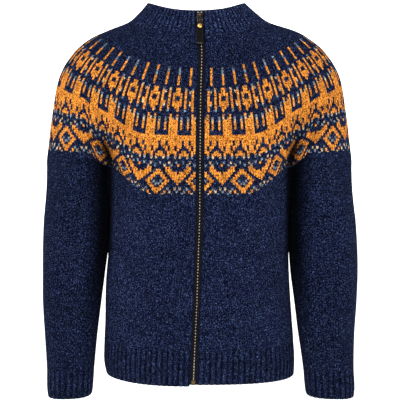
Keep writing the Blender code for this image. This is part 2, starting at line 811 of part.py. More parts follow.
def slider_place():
    """The slider's frame: x across, y down the zip, z out of the cloth."""
    top = zip_frame(TOP_LEVEL)
    middle = zip_frame(0.5)
    down = (middle - top).normalized()
    out = Vector((1, 0, 0)).cross(down)
    if out.y > 0:
        out.negate()
    across_way = down.cross(out)
    place = top.lerp(middle, SLIDER_LEVEL / 0.5)
    frame = Matrix((across_way, down, out)).transposed().to_4x4()
    frame.translation = place
    return frame


def outline_block(outline, bottom, top, bevel=0.0):
    """A block with a straight-sided outline, its upper and lower rims bevelled."""
    shape = bmesh.new()
    base = [shape.verts.new((x, y, bottom)) for x, y in outline]
    face = shape.faces.new(base)
    lifted = bmesh.ops.extrude_face_region(shape, geom=[face])
    verts = [item for item in lifted["geom"] if isinstance(item, bmesh.types.BMVert)]
    bmesh.ops.translate(shape, vec=(0, 0, top - bottom), verts=verts)
    bmesh.ops.recalc_face_normals(shape, faces=shape.faces)
    if bevel:
        rims = [edge for edge in shape.edges if abs(edge.verts[0].co.z - edge.verts[1].co.z) < 1e-7]
        bmesh.ops.bevel(shape, geom=rims, offset=bevel, offset_type="OFFSET", segments=1,
                        profile=0.5, affect="EDGES", clamp_overlap=True, material=-1)
    return shape


def round_outline(points, radius, steps=3):
    """An outline with its corners rounded, each by a short arc of a few steps."""
    result = []
    count = len(points)
    for index, corner in enumerate(points):
        here = Vector(corner)
        before = (Vector(points[index - 1]) - here).normalized()
        after = (Vector(points[(index + 1) % count]) - here).normalized()
        start = here + before * radius
        end = here + after * radius
        for step in range(steps + 1):
            share = step / steps
            first = start.lerp(here, share)
            second = here.lerp(end, share)
            result.append(tuple(first.lerp(second, share)))
    return result


def boolean(piece, other, operation):
    """Adds or cuts one shape and hides the helper."""
    modifier = piece.modifiers.new(operation.lower(), "BOOLEAN")
    modifier.object = other
    modifier.operation = operation
    modifier.solver = "EXACT"
    other.hide_render = True
    other.display_type = "WIRE"


def placed(name, shape, finish, frame):
    """An object set by its matrix, as hardware is."""
    piece = new_object(name, shape, finish)
    piece.matrix_world = frame
    return piece


def arch_shape():
    """The slider's bridge in its frame: a low arch on the plate that the link hangs from."""
    plate_top = PLATE_THICK - WALL
    foot = plate_top - PLATE_THICK / 2
    under = PIVOT_HEIGHT + LINK_BAR_RADIUS + PIVOT_PLAY
    over = under + ARCH_THICK
    shape = bmesh.new()
    run = ARCH_THICK
    profile = [(ARCH_START, foot), (ARCH_START, under), (ARCH_START + run, over),
               (ARCH_END - run, over), (ARCH_END, under), (ARCH_END, foot),
               (ARCH_END - run, foot), (ARCH_END - run, under - ARCH_CHAMFER),
               (ARCH_END - run - ARCH_CHAMFER, under), (ARCH_START + run + ARCH_CHAMFER, under),
               (ARCH_START + run, under - ARCH_CHAMFER), (ARCH_START + run, foot)]
    base = [shape.verts.new((-ARCH_HALF, y, z)) for y, z in profile]
    face = shape.faces.new(base)
    lifted = bmesh.ops.extrude_face_region(shape, geom=[face])
    verts = [item for item in lifted["geom"] if isinstance(item, bmesh.types.BMVert)]
    bmesh.ops.translate(shape, vec=(2 * ARCH_HALF, 0, 0), verts=verts)
    bmesh.ops.recalc_face_normals(shape, faces=shape.faces)
    return shape


def slider():
    """Two plates held by a post, and a bridge for the pull."""
    frame = slider_place()
    outline = [(-SLIDER_TOP_HALF, SLIDER_TOP), (SLIDER_TOP_HALF, SLIDER_TOP),
               (SLIDER_TOP_HALF, SLIDER_SHOULDER), (SLIDER_FOOT_HALF, SLIDER_FOOT),
               (-SLIDER_FOOT_HALF, SLIDER_FOOT), (-SLIDER_TOP_HALF, SLIDER_SHOULDER)]
    rounded = round_outline(outline, PLATE_CORNER)
    front_bottom = -WALL
    front_top = front_bottom + PLATE_THICK
    back_top = -(WALL + 3 * SEAM_GAP + TAPE_THICK + CHAIN_THICK)
    back_bottom = back_top - PLATE_THICK
    body = placed("zip_slider", outline_block(rounded, front_bottom, front_top, PLATE_BEVEL),
                  dark_bronze(), frame)
    back = placed("slider_back_shape", outline_block(rounded, back_bottom, back_top, PLATE_BEVEL),
                  dark_bronze(), frame)
    post_outline = [(-POST_HALF, POST_START), (POST_HALF, POST_START),
                    (POST_HALF, POST_END), (-POST_HALF, POST_END)]
    post_block = outline_block(post_outline, back_top - FUSE_DEPTH, front_bottom + FUSE_DEPTH)
    post = placed("slider_post_shape", post_block, dark_bronze(), frame)
    arch = placed("slider_arch_shape", arch_shape(), dark_bronze(), frame)
    for other in (post, back, arch):
        boolean(body, other, "UNION")
    return frame


def pull_pivot(frame):
    """The empty at the pull's hinge; everything on it is laid out from the hinge."""
    pivot = bpy.data.objects.new("pull_pivot", None)
    bpy.context.scene.collection.objects.link(pivot)
    pivot.matrix_world = frame @ Matrix.Translation((0, PIVOT_DOWN, PIVOT_HEIGHT))
    return pivot


def hung(name, shape, finish, pivot):
    piece = new_object(name, shape, finish)
    piece.parent = pivot
    return piece


def pull(frame):
    """The link, the rivet and the tab, on the hinge's empty."""
    pivot = pull_pivot(frame)
    bar = LINK_BAR_RADIUS
    link_outline = round_outline([(-LINK_HALF, -bar), (LINK_HALF, -bar),
                                  (LINK_HALF, LINK_END), (-LINK_HALF, LINK_END)], bar, 2)
    link = hung("pull_link", outline_block(link_outline, -bar, bar, LINK_BEVEL), dark_bronze(), pivot)
    hole_outline = [(-LINK_HOLE_HALF, bar), (LINK_HOLE_HALF, bar),
                    (LINK_HOLE_HALF, LINK_HOLE_END), (-LINK_HOLE_HALF, LINK_HOLE_END)]
    hole = hung("link_hole_shape", outline_block(hole_outline, -LINK_HALF, LINK_HALF), dark_bronze(), pivot)
    boolean(link, hole, "DIFFERENCE")
    tab_bottom = bar + SEAM_GAP
    tab_top = tab_bottom + TAB_THICK
    tab_outline = round_outline([(-TAB_TOP_HALF, TAB_START), (TAB_TOP_HALF, TAB_START),
                                 (TAB_FOOT_HALF, TAB_END), (-TAB_FOOT_HALF, TAB_END)],
                                TAB_CORNER)
    tab_block = outline_block(tab_outline, tab_bottom, tab_top, TAB_BEVEL)
    tab = hung("pull_tab", tab_block, black_leather(), pivot)
    shank_hole = bmesh.new()
    bmesh.ops.create_cone(shank_hole, cap_ends=True, segments=ROUND_STEPS, depth=LINK_END,
                          radius1=RIVET_SHANK_RADIUS + SEAM_GAP, radius2=RIVET_SHANK_RADIUS + SEAM_GAP,
                          matrix=Matrix.Translation((0, RIVET_DOWN, 0)))
    drill = hung("rivet_hole_shape", shank_hole, dark_bronze(), pivot)
    boolean(link, drill, "DIFFERENCE")
    boolean(tab, drill, "DIFFERENCE")
    rivet_shape(pivot, bar, tab_top)


def rivet_shape(pivot, bar, tab_top):
    """The rivet as one turned piece: back washer, shank and domed head."""
    back_top = -bar - SEAM_GAP
    back_bottom = back_top - RIVET_BACK_HIGH
    head_bottom = tab_top + SEAM_GAP
    head_top = head_bottom + RIVET_HEAD_HIGH
    crown_radius = RIVET_HEAD_RADIUS * RIVET_CROWN_RADIUS_SHARE
    profile = [(0.0, back_bottom), (RIVET_BACK_RADIUS, back_bottom), (RIVET_BACK_RADIUS, back_top),
               (RIVET_SHANK_RADIUS, back_top), (RIVET_SHANK_RADIUS, head_bottom),
               (RIVET_HEAD_RADIUS, head_bottom),
               (RIVET_HEAD_RADIUS, blend(head_bottom, head_top, RIVET_RIM_SHARE)),
               (crown_radius, blend(head_bottom, head_top, RIVET_CROWN_SHARE)),
               (0.0, head_top)]
    shape = bmesh.new()
    verts = [shape.verts.new((radius, 0, height)) for radius, height in profile]
    edges = [shape.edges.new(pair) for pair in zip(verts, verts[1:])]
    bmesh.ops.spin(shape, geom=verts + edges, cent=(0, 0, 0), axis=(0, 0, 1), dvec=(0, 0, 0),
                   angle=2 * math.pi, steps=ROUND_STEPS, use_merge=True)
    bmesh.ops.remove_doubles(shape, verts=shape.verts, dist=1e-6)
    bmesh.ops.recalc_face_normals(shape, faces=shape.faces)
    bmesh.ops.translate(shape, vec=(0, RIVET_DOWN, 0), verts=shape.verts)
    hung("pull_rivet", shape, aged_brass(), pivot)


def clear_scene():
    for item in list(bpy.data.objects):
        bpy.data.objects.remove(item, do_unlink=True)


def main():
    clear_scene()
    cloth()
    zip_fastener()
    frame = slider()
    pull(frame)


main()
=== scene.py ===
"""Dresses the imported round-yoke cardigan: knitted cloth, yoke pattern, zip, pull, floor and lights.

Metres, +Z up, the front faces -Y.  The wearer's right side is at -X.  The cloth lies on the same
surfaces as its solids: a point is found by its station around and by its level down the garment,
0 top of the collar, 1 neck seam, 2 lower edge of the yoke, 3 seam of the rib, 4 hem or cuff edge.
"""

import functools
import math
from collections import namedtuple

import bmesh
import bpy
import numpy as np
from bpy.props import FloatProperty, FloatVectorProperty, IntProperty, PointerProperty
from mathutils import Matrix, Vector


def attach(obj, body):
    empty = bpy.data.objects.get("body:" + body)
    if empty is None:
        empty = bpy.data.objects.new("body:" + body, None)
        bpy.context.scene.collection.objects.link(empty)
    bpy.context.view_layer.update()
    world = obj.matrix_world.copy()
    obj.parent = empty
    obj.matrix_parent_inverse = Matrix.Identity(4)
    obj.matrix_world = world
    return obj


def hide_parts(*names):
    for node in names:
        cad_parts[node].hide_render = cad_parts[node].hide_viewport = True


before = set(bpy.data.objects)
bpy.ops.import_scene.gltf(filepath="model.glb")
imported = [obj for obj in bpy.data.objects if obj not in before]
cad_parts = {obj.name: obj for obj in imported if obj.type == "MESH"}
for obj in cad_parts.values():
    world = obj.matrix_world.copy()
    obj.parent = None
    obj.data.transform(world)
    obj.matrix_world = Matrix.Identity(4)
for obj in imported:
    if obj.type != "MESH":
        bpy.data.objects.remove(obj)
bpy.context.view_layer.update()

bl_info = {
    "name": "Round-yoke zip cardigan",
    "version": (1, 0, 0),
    "blender": (4, 5, 0),
    "location": "View3D > Sidebar > Cardigan",
    "description": "Knits, sews and lights a round-yoke zip cardigan around its packed model",
    "category": "Object",
}

BODY = "cardigan"
PULL_BODY = "zip_pull"
RIGHT = -1
LEFT = 1
SIDE_WORDS = {RIGHT: "right", LEFT: "left"}

# Levels of the seams
TOP_LEVEL = 0.0
NECK_LEVEL = 1.0
YOKE_LEVEL = 2.0
RIB_LEVEL = 3.0
EDGE_LEVEL = 4.0

# Angle on the yoke's rings at which the sleeve parts from the body, degrees from the zip
UNDERARM_ANGLE = 35.6
HALF_TURN = 180.0
SIDE_ANGLE = 90.0

# Height of the rib seams and of the open edges
HEM_SEAM_Z = -0.584
HEM_FRONT_Z = -0.6475
HEM_RIGHT_SIDE_Z = -0.6455
HEM_LEFT_SIDE_Z = -0.6485
HEM_BACK_Z = -0.6455
RIGHT_FRONT_DROP = 0.0028
CUFF_SEAM_Z = -0.6365
CUFF_INNER_Z = -0.6865
CUFF_OUTER_Z = -0.6915

# How far below the yoke a tube takes to reach its own section
BODY_EASE = 0.110
SLEEVE_EASE = 0.120
SLEEVE_INNER_SQUARE = 2.9
SLEEVE_OUTER_SQUARE = 2.15
UNDERARM_RISE = 0.3

# The channel that the knitted edges leave for the zip
CHANNEL_HALF = 0.0080

# Rings of the collar and the yoke; crease is the depth of the fold over the armpit
Ring = namedtuple("Ring", "level front_z side_z back_z half_width shift front back square scoop "
                          "crease crease_angle")
RINGS = (
    Ring(0.00, 0.0335, 0.0515, 0.0430, 0.0910, -0.0075, 0.068, 0.066, 2.00, 0.00, 0.000, 35.6),
    Ring(0.50, 0.0140, 0.0330, 0.0280, 0.1095, -0.0050, 0.076, 0.077, 2.00, 0.00, 0.000, 35.6),
    Ring(1.00, -0.0080, 0.0140, 0.0100, 0.1350, -0.0030, 0.084, 0.089, 2.00, 0.00, 0.000, 36.0),
    Ring(1.20, -0.0450, 0.0000, -0.0200, 0.1750, 0.0010, 0.097, 0.104, 2.00, 0.00, 0.000, 38.0),
    Ring(1.40, -0.0850, -0.0150, -0.0600, 0.2050, -0.0010, 0.107, 0.113, 2.03, 0.05, 0.000, 41.0),
    Ring(1.55, -0.1250, -0.0400, -0.1000, 0.2350, -0.0015, 0.113, 0.118, 2.06, 0.25, 0.001, 43.0),
    Ring(1.70, -0.1700, -0.0850, -0.1480, 0.2625, -0.0015, 0.117, 0.120, 2.10, 0.50, 0.007, 44.0),
    Ring(1.85, -0.2250, -0.1550, -0.2070, 0.2765, -0.0020, 0.119, 0.120, 2.08, 0.75, 0.024, 41.0),
    Ring(2.00, -0.2980, -0.2415, -0.2850, 0.2880, -0.0020, 0.120, 0.118, 2.00, 1.00, 0.052, 35.6),
)
CREASE_WIDTH_ANGLE = 7.5
SCOOP_START_ANGLE = 16.0
SCOOP_OUTER_ANGLE = 80.0
SCOOP_OUTER_SHARE = 0.177

# Sections of the body tube
Section = namedtuple("Section", "z right_edge left_edge front back square")
SECTIONS = (
    Section(-0.245, -0.1690, 0.1665, 0.119, 0.117, 2.50),
    Section(-0.323, -0.1695, 0.1665, 0.118, 0.114, 2.45),
    Section(-0.400, -0.1730, 0.1665, 0.117, 0.112, 2.40),
    Section(-0.475, -0.1795, 0.1695, 0.117, 0.112, 2.35),
    Section(-0.551, -0.1815, 0.1750, 0.117, 0.114, 2.30),
    Section(-0.600, -0.1840, 0.1790, 0.117, 0.115, 2.35),
    Section(-0.625, -0.1840, 0.1800, 0.117, 0.115, 2.40),
    Section(-0.650, -0.1790, 0.1790, 0.115, 0.112, 2.45),
)

# Sections of the sleeve tubes; each x is given for the side that it is on
Sleeve = namedtuple("Sleeve", "z right_inner right_outer left_inner left_outer middle half_depth")
SLEEVES = (
    Sleeve(-0.245, -0.1705, -0.2900, 0.1680, 0.2870, 0.000, 0.0700),
    Sleeve(-0.323, -0.1718, -0.2950, 0.1690, 0.2920, 0.001, 0.0660),
    Sleeve(-0.399, -0.1752, -0.2990, 0.1692, 0.2980, 0.002, 0.0630),
    Sleeve(-0.456, -0.1825, -0.3000, 0.1728, 0.2998, 0.001, 0.0600),
    Sleeve(-0.513, -0.1900, -0.3000, 0.1803, 0.2978, -0.002, 0.0570),
    Sleeve(-0.570, -0.1972, -0.2968, 0.1873, 0.2940, -0.006, 0.0530),
    Sleeve(-0.608, -0.2010, -0.2945, 0.1930, 0.2930, -0.009, 0.0490),
    Sleeve(-0.6365, -0.2035, -0.2930, 0.1970, 0.2930, -0.011, 0.0460),
    Sleeve(-0.675, -0.2060, -0.2930, 0.2005, 0.2950, -0.013, 0.0435),
    Sleeve(-0.692, -0.2085, -0.2912, 0.2030, 0.2938, -0.014, 0.0415),
)

# Where the middle of the zip runs
ZipPoint = namedtuple("ZipPoint", "z x")
ZIP_LINE = (
    ZipPoint(0.040, -0.0010),
    ZipPoint(0.005, -0.0008),
    ZipPoint(-0.018, 0.0012),
    ZipPoint(-0.045, 0.0026),
    ZipPoint(-0.130, 0.0004),
    ZipPoint(-0.300, -0.0010),
    ZipPoint(-0.400, -0.0034),
    ZipPoint(-0.480, -0.0058),
    ZipPoint(-0.560, -0.0092),
    ZipPoint(-0.650, -0.0130),
)

Station = namedtuple("Station", "part side value")


def smooth(start, end, value):
    """0 before start, 1 after end, and a soft step between."""
    share = min(1.0, max(0.0, (value - start) / (end - start)))
    return share * share * (3.0 - 2.0 * share)


def blend(first, second, share):
    return first + (second - first) * share


def through(rows, key, names, value):
    """The named columns of a table at a value of its key column, on a smooth curve through the rows."""
    keys = [getattr(row, key) for row in rows]
    rising = keys[-1] > keys[0]
    low, high = min(keys), max(keys)
    value = min(high, max(low, value))
    last = len(rows) - 2
    index = 0
    while index < last and ((value > keys[index + 1]) if rising else (value < keys[index + 1])):
        index += 1
    span = keys[index + 1] - keys[index]
    share = (value - keys[index]) / span
    square, cube = share * share, share ** 3
    result = []
    for name in names:
        values = [getattr(row, name) for row in rows]
        before, after = max(index - 1, 0), min(index + 2, len(rows) - 1)
        start_slope = (values[index + 1] - values[before]) / (keys[index + 1] - keys[before])
        end_slope = (values[after] - values[index]) / (keys[after] - keys[index])
        result.append((2 * cube - 3 * square + 1) * values[index]
                      + (cube - 2 * square + share) * span * start_slope
                      + (3 * square - 2 * cube) * values[index + 1]
                      + (cube - square) * span * end_slope)
    return result


@functools.lru_cache(maxsize=None)
def zip_x(z):
    """Where the middle of the zip is at a height."""
    return through(ZIP_LINE, "z", ("x",), z)[0]


def across(side, share, centre, half_width, z, front):
    """The x of a point whose share of the half width is given; the front parts at the zip."""
    if not front:
        return centre + side * half_width * share
    lean = (zip_x(z) - centre) * (1.0 - share) ** 2
    return centre + side * (CHANNEL_HALF + (half_width - CHANNEL_HALF) * share) + lean


def drop_share(angle, scoop):
    """How much of the front's or back's drop a ring has at an angle from its middle."""
    round_share = math.cos(math.radians(angle)) ** 2
    inner = (1.0 - SCOOP_OUTER_SHARE) * (1.0 - smooth(SCOOP_START_ANGLE, UNDERARM_ANGLE, angle))
    outer = SCOOP_OUTER_SHARE * (1.0 - smooth(UNDERARM_ANGLE, SCOOP_OUTER_ANGLE, angle))
    return blend(round_share, inner + outer, scoop)


def led_angle(angle, crease_angle):
    """Leads the stations aside so that the underarm's station runs along the fold."""
    share = math.sin(2 * math.radians(angle)) ** 2 / math.sin(2 * math.radians(UNDERARM_ANGLE)) ** 2
    return angle + (crease_angle - UNDERARM_ANGLE) * share


@functools.lru_cache(maxsize=None)
def ring_row(level):
    return Ring(level, *through(RINGS, "level", Ring._fields[1:], level))


def ring_point(side, angle, level):
    """A point on the ring surface of the collar and the yoke."""
    row = ring_row(level)
    front = angle <= SIDE_ANGLE
    from_middle = angle if front else HALF_TURN - angle
    depth = row.front if front else row.back
    middle_z = row.front_z if front else row.back_z
    radians = math.radians(led_angle(from_middle, row.crease_angle))
    power = 2.0 / row.square
    z = row.side_z + (middle_z - row.side_z) * drop_share(from_middle, row.scoop)
    x = across(side, math.sin(radians) ** power, row.shift, row.half_width, z, front)
    offset = (from_middle - UNDERARM_ANGLE) / CREASE_WIDTH_ANGLE
    depth_here = depth * max(math.cos(radians), 0.0) ** power - row.crease * math.exp(-offset * offset)
    return Vector((x, -depth_here if front else depth_here, z))


@functools.lru_cache(maxsize=None)
def top_point(station):
    """The point of a tube's upper edge at a station."""
    if station.part == "underarm":
        front = ring_point(station.side, UNDERARM_ANGLE, YOKE_LEVEL)
        back = ring_point(station.side, HALF_TURN - UNDERARM_ANGLE, YOKE_LEVEL)
        return front.lerp(back, station.value)
    return ring_point(station.side, station.value, YOKE_LEVEL)


def section_turn(across_share, depth_share, square):
    """The angle of a squared section at which a point lies, from the front over the outer side."""
    wide = math.copysign(abs(across_share) ** (square / 2.0), across_share)
    deep = math.copysign(abs(depth_share) ** (square / 2.0), depth_share)
    return math.atan2(wide, deep)


def signed_power(value, square):
    return math.copysign(abs(value) ** (2.0 / square), value)


@functools.lru_cache(maxsize=None)
def body_turn(station):
    """Where a station of the body lies on its section."""
    top = top_point(station)
    right_edge, left_edge, front, back, square = through(SECTIONS, "z", Section._fields[1:], top.z)
    centre = (left_edge + right_edge) / 2
    half_width = (left_edge - right_edge) / 2
    is_front = top.y <= 0.0
    wide = station.side * (top.x - centre) / half_width
    if is_front:
        wide = (wide * half_width - CHANNEL_HALF) / (half_width - CHANNEL_HALF)
    if station.part == "front" and station.value == 0.0:
        wide = 0.0
    deep = -top.y / (front if is_front else back)
    return section_turn(min(1.0, max(wide, 0.0)), deep, square)


def hem_z(station):
    """How low the hem is at a station."""
    turn = body_turn(station)
    middle = HEM_FRONT_Z if math.cos(turn) > 0 else HEM_BACK_Z
    if station.side == RIGHT and math.cos(turn) > 0:
        middle -= RIGHT_FRONT_DROP
    side_z = HEM_RIGHT_SIDE_Z if station.side == RIGHT else HEM_LEFT_SIDE_Z
    return blend(side_z, middle, math.cos(turn) ** 2)


def body_point(station, level):
    """A point of the body tube; above the yoke's edge it follows the yoke."""
    top = top_point(station).copy()
    if level < YOKE_LEVEL:
        if station.part == "underarm":
            return top + Vector((0, 0, (YOKE_LEVEL - level) * UNDERARM_RISE))
        return ring_point(station.side, station.value, level)
    if level <= RIB_LEVEL:
        z = blend(top.z, HEM_SEAM_Z, level - YOKE_LEVEL)
    else:
        z = blend(HEM_SEAM_Z, hem_z(station), level - RIB_LEVEL)
    right_edge, left_edge, front, back, square = through(SECTIONS, "z", Section._fields[1:], z)
    turn = body_turn(station)
    wide = signed_power(math.sin(turn), square)
    deep = signed_power(math.cos(turn), square)
    x = across(station.side, wide, (left_edge + right_edge) / 2, (left_edge - right_edge) / 2, z,
               deep >= 0.0)
    share = smooth(0.0, BODY_EASE, top.z - z)
    top.z = z
    return top.lerp(Vector((x, -front * deep if deep >= 0.0 else -back * deep, z)), share)


def sleeve_columns(side, z):
    """The middle, half width, middle depth and half depth of a sleeve at a height."""
    row = Sleeve(z, *through(SLEEVES, "z", Sleeve._fields[1:], z))
    inner = row.right_inner if side == RIGHT else row.left_inner
    outer = row.right_outer if side == RIGHT else row.left_outer
    return (inner + outer) / 2, abs(outer - inner) / 2, row.middle, row.half_depth


def sleeve_square(across_share):
    return SLEEVE_OUTER_SQUARE if across_share > 0.0 else SLEEVE_INNER_SQUARE


@functools.lru_cache(maxsize=None)
def sleeve_turn(station):
    """Where a station of the sleeve lies on its section."""
    top = top_point(station)
    centre, half_width, middle, half_depth = sleeve_columns(station.side, top.z)
    wide = station.side * (top.x - centre) / half_width
    deep = -(top.y - middle) / half_depth
    return section_turn(min(1.0, max(-1.0, wide)), deep, sleeve_square(wide))


def sleeve_point(station, level):
    """A point of a sleeve's tube; above the yoke's edge it follows the yoke."""
    top = top_point(station).copy()
    if level < YOKE_LEVEL:
        if station.part == "underarm":
            return top + Vector((0, 0, (YOKE_LEVEL - level) * UNDERARM_RISE))
        return ring_point(station.side, station.value, level)
    turn = sleeve_turn(station)
    wide, deep = math.sin(turn), math.cos(turn)
    if level <= RIB_LEVEL:
        z = blend(top.z, CUFF_SEAM_Z, level - YOKE_LEVEL)
    else:
        z = blend(CUFF_SEAM_Z, blend(CUFF_INNER_Z, CUFF_OUTER_Z, (1.0 + wide) / 2), level - RIB_LEVEL)
    centre, half_width, middle, half_depth = sleeve_columns(station.side, z)
    square = sleeve_square(wide)
    x = centre + station.side * half_width * signed_power(wide, square)
    y = middle - half_depth * signed_power(deep, square)
    share = smooth(0.0, SLEEVE_EASE, top.z - z)
    top.z = z
    return top.lerp(Vector((x, y, z)), share)


def yoke_point(station, level):
    return ring_point(station.side, station.value, level)


def stations_of(part, side, first, last, count):
    return [Station(part, side, float(value)) for value in np.linspace(first, last, count)]


def yoke_stations():
    halves = [stations_of("yoke", side, 0.0, HALF_TURN, 181) for side in (RIGHT, LEFT)]
    return halves[0] + halves[1][-2::-1]


def body_stations():
    halves = []
    for side in (RIGHT, LEFT):
        halves.append(stations_of("front", side, 0.0, UNDERARM_ANGLE, 28)
                      + stations_of("underarm", side, 0.0, 1.0, 15)[1:-1]
                      + stations_of("back", side, HALF_TURN - UNDERARM_ANGLE, HALF_TURN, 28))
    return halves[0] + halves[1][-2::-1]


def sleeve_stations(side):
    """Around the sleeve once and back to the first station, from the middle of the underarm."""
    under = stations_of("underarm", side, 0.0, 1.0, 15)
    over = stations_of("sleeve", side, UNDERARM_ANGLE, HALF_TURN - UNDERARM_ANGLE, 91)
    middle = len(under) // 2
    return under[middle:0:-1] + over + under[-2:middle - 1:-1]


def zip_frame(level):
    """A point in the middle of the zip, level with the cloth's outer face."""
    if level <= YOKE_LEVEL:
        points = [ring_point(side, 0.0, level) for side in (RIGHT, LEFT)]
    else:
        points = [body_point(Station("front", side, 0.0), level) for side in (RIGHT, LEFT)]
    return (points[0] + points[1]) / 2


# Net on which a surface is read before it is knitted finer
NET_STEPS = 40
NORMAL_STEP = 0.006

# Share of a wale at each column of points, how far the column hangs below its row's line in rows,
# and how high it stands, as a share of the stitch relief
WALE_COLUMNS = ((0.0, 0.0, -0.55), (0.25, 0.25, 0.40), (0.5, 0.5, -0.15), (0.75, 0.25, 0.40))
RIB_COLUMNS = ((0.0, 0.0, -1.0), (0.12, 0.0, -0.62), (0.24, 0.1, -0.06), (0.37, 0.25, 0.10),
               (0.5, 0.45, 0.0), (0.63, 0.25, 0.10), (0.76, 0.1, -0.06), (0.88, 0.0, -0.62))

# How an open edge turns in: steps along the cloth and into it, in metres
EDGE_ROLL = ((0.0009, 0.0006), (0.0014, 0.0018))
EDGE_TURNS = {"roll": EDGE_ROLL, "tuck": ((0.0035, 0.0011),), "flat": ()}

# Light that the wool keeps: between rows, painted shade on turned edges and inside, and random tone from
# stitch to stitch
PLAIN_SHADE = 1.0
EDGE_PAINTED_SHADE = 0.85
INSIDE_PAINTED_SHADE = 0.6
SHADE_LEAST = 0.72
SHADE_SPREAD = 0.56

# Run of a stitch on the turned edges, unevenness of the wool, and the share of a rib's relief that its
# first rows at a seam have
STITCH_RUN = 0.004
UNEVENNESS = 0.00006
RIB_FADE = (0.12, 0.42, 0.75)

NAVY, ORANGE, CREAM, PALE = range(4)
YARN_LETTERS = {".": NAVY, "o": ORANGE, "c": CREAM, "b": PALE}

Zone = namedtuple("Zone", "rows wales chart phase")

# The yoke's bands, charted as small repeats: . navy, o orange, c cream, b pale blue
STICKS = (
    "..o....b....b....o..",
    "..o....b....b....o..",
    "..o....b....o....b..",
    "..o....o....o....b..",
    "..o....o....o....o..",
    "..o....o....o....o..",
    "..o....o....o....o..",
)
LOZENGE_BAND = (
    "b..c..oo..c..b..oo..",
    "oc.o..oo..o.co..oo..",
    "o..o.oooo.o..o.oooo.",
    "o..o.o..o.o..o.o..o.",
    "o..o.o..o.o..o.o..o.",
    "oo.o.oooo.o.oo.oooo.",
    "oc.o.oooo.o.co.oooo.",
    "o..o..oo..o..o..oo..",
    "o..b..o...b..o..o...",
)
CROWN_BAND = (
    "o..o......",
    "c.co.b..b.",
    "oooo.c..c.",
    "oooo.o..o.",
    "oooo.o..o.",
    "oooo.o..o.",
    "oooo......",
    "oooo......",
    "oooooooooo",
    "oooooooooo",
    "oooo.oo.oo",
    "oooo.oo.oo",
    ".oo.oo..oo",
    ".oo.o....o",
    "oooo..oo..",
    "o..o.oooo.",
    "c..b.c..c.",
)
DIAMOND_BAND = (
    ".b..c...b...c..b.",
    "o..b..c...b..c...",
    "....oo......oo...",
    "...ooo..oo..ooo..",
    ".oooo..oooo..oooo",
    "oooo..oo..oo..ooo",
    "ooo..oo....oo..oo",
    "oo..oo.b..b.oo..o",
    "o....oo.bb.oo....",
    "......oo..oo.....",
    ".c..b..oooo..b..c",
    "b..c.o..oo..o.c..",
    "..b...c....c...b.",
)


# Painted shade beside the deep gap under each arm, darkening the wool's colour: how far from the gap the
# shade begins to fade and ends, the heights between which it comes, the least light that the wool keeps,
# how high, how wide and from which heights on the two sides swell towards each other, and the gap's
# line on the yoke, as heights and distances aside
GapShade = namedtuple("GapShade", "aside high")
GAP_SHADES = {
    "yoke": GapShade((0.001, 0.018), (-0.165, -0.222)),
    "body": GapShade((0.001, 0.014), (-0.470, -0.405)),
    "sleeve": GapShade((0.006, 0.042), (-0.620, -0.400)),
}
GAP_DEEPEST = 0.02
GAP_SWELL = 0.0010
GAP_SWELL_WIDE = 0.018
GAP_SWELL_HIGH = (-0.425, -0.410)
YOKE_GAP_LINE = ((-0.240, -0.165), (0.1680, 0.1880))


def soft_steps(start, end, values):
    shares = np.clip((values - start) / (end - start), 0.0, 1.0)
    return shares * shares * (3.0 - 2.0 * shares)


def from_gap(points, part):
    """How far each point of the body or of a sleeve is from that piece's edge at the gap."""
    aside, high = points[..., 0], points[..., 2]
    table, names = SLEEVES, ("right_inner", "left_inner")
    if part == "body":
        table, names = SECTIONS, ("right_edge", "left_edge")
    heights = [row.z for row in table][::-1]
    right, left = (np.interp(high, heights, [getattr(row, name) for row in table][::-1])
                   for name in names)
    away = np.where(aside < 0.0, aside - right, left - aside)
    return away if part == "body" else -away


def gap_swell(points, part):
    """How far the body and the sleeves swell towards each other under the arm."""
    if part not in ("body", "sleeve"):
        return 0.0
    near = np.exp(-(from_gap(points, part) / GAP_SWELL_WIDE) ** 2)
    return GAP_SWELL * near * soft_steps(*GAP_SWELL_HIGH, points[..., 2])


def gap_shade(points, part):
    """Painted shade beside the gap under the arm: how much of its light the wool's colour keeps, from
    near nought to one.
    """
    aside, high = points[..., 0], points[..., 2]
    if part == "yoke":
        away = np.abs(np.abs(aside) - np.interp(high, *YOKE_GAP_LINE))
    else:
        away = from_gap(points, part)
    kept = soft_steps(*GAP_SHADES[part].aside, away)
    weight = soft_steps(*GAP_SHADES[part].high, high)
    return 1.0 - weight * (1.0 - GAP_DEEPEST) * (1.0 - kept)


def run_along(line):
    """How far along a line each of its points is."""
    return np.concatenate(([0.0], np.cumsum(np.linalg.norm(np.diff(line, axis=0), axis=1))))


def level_of_rows(net, rows):
    """The level of each row of stitches, so that all rows are as deep at the front."""
    run = run_along(net.points[:, 0, :])
    return np.interp(np.linspace(0.0, run[-1], rows + 1), run, net.levels)


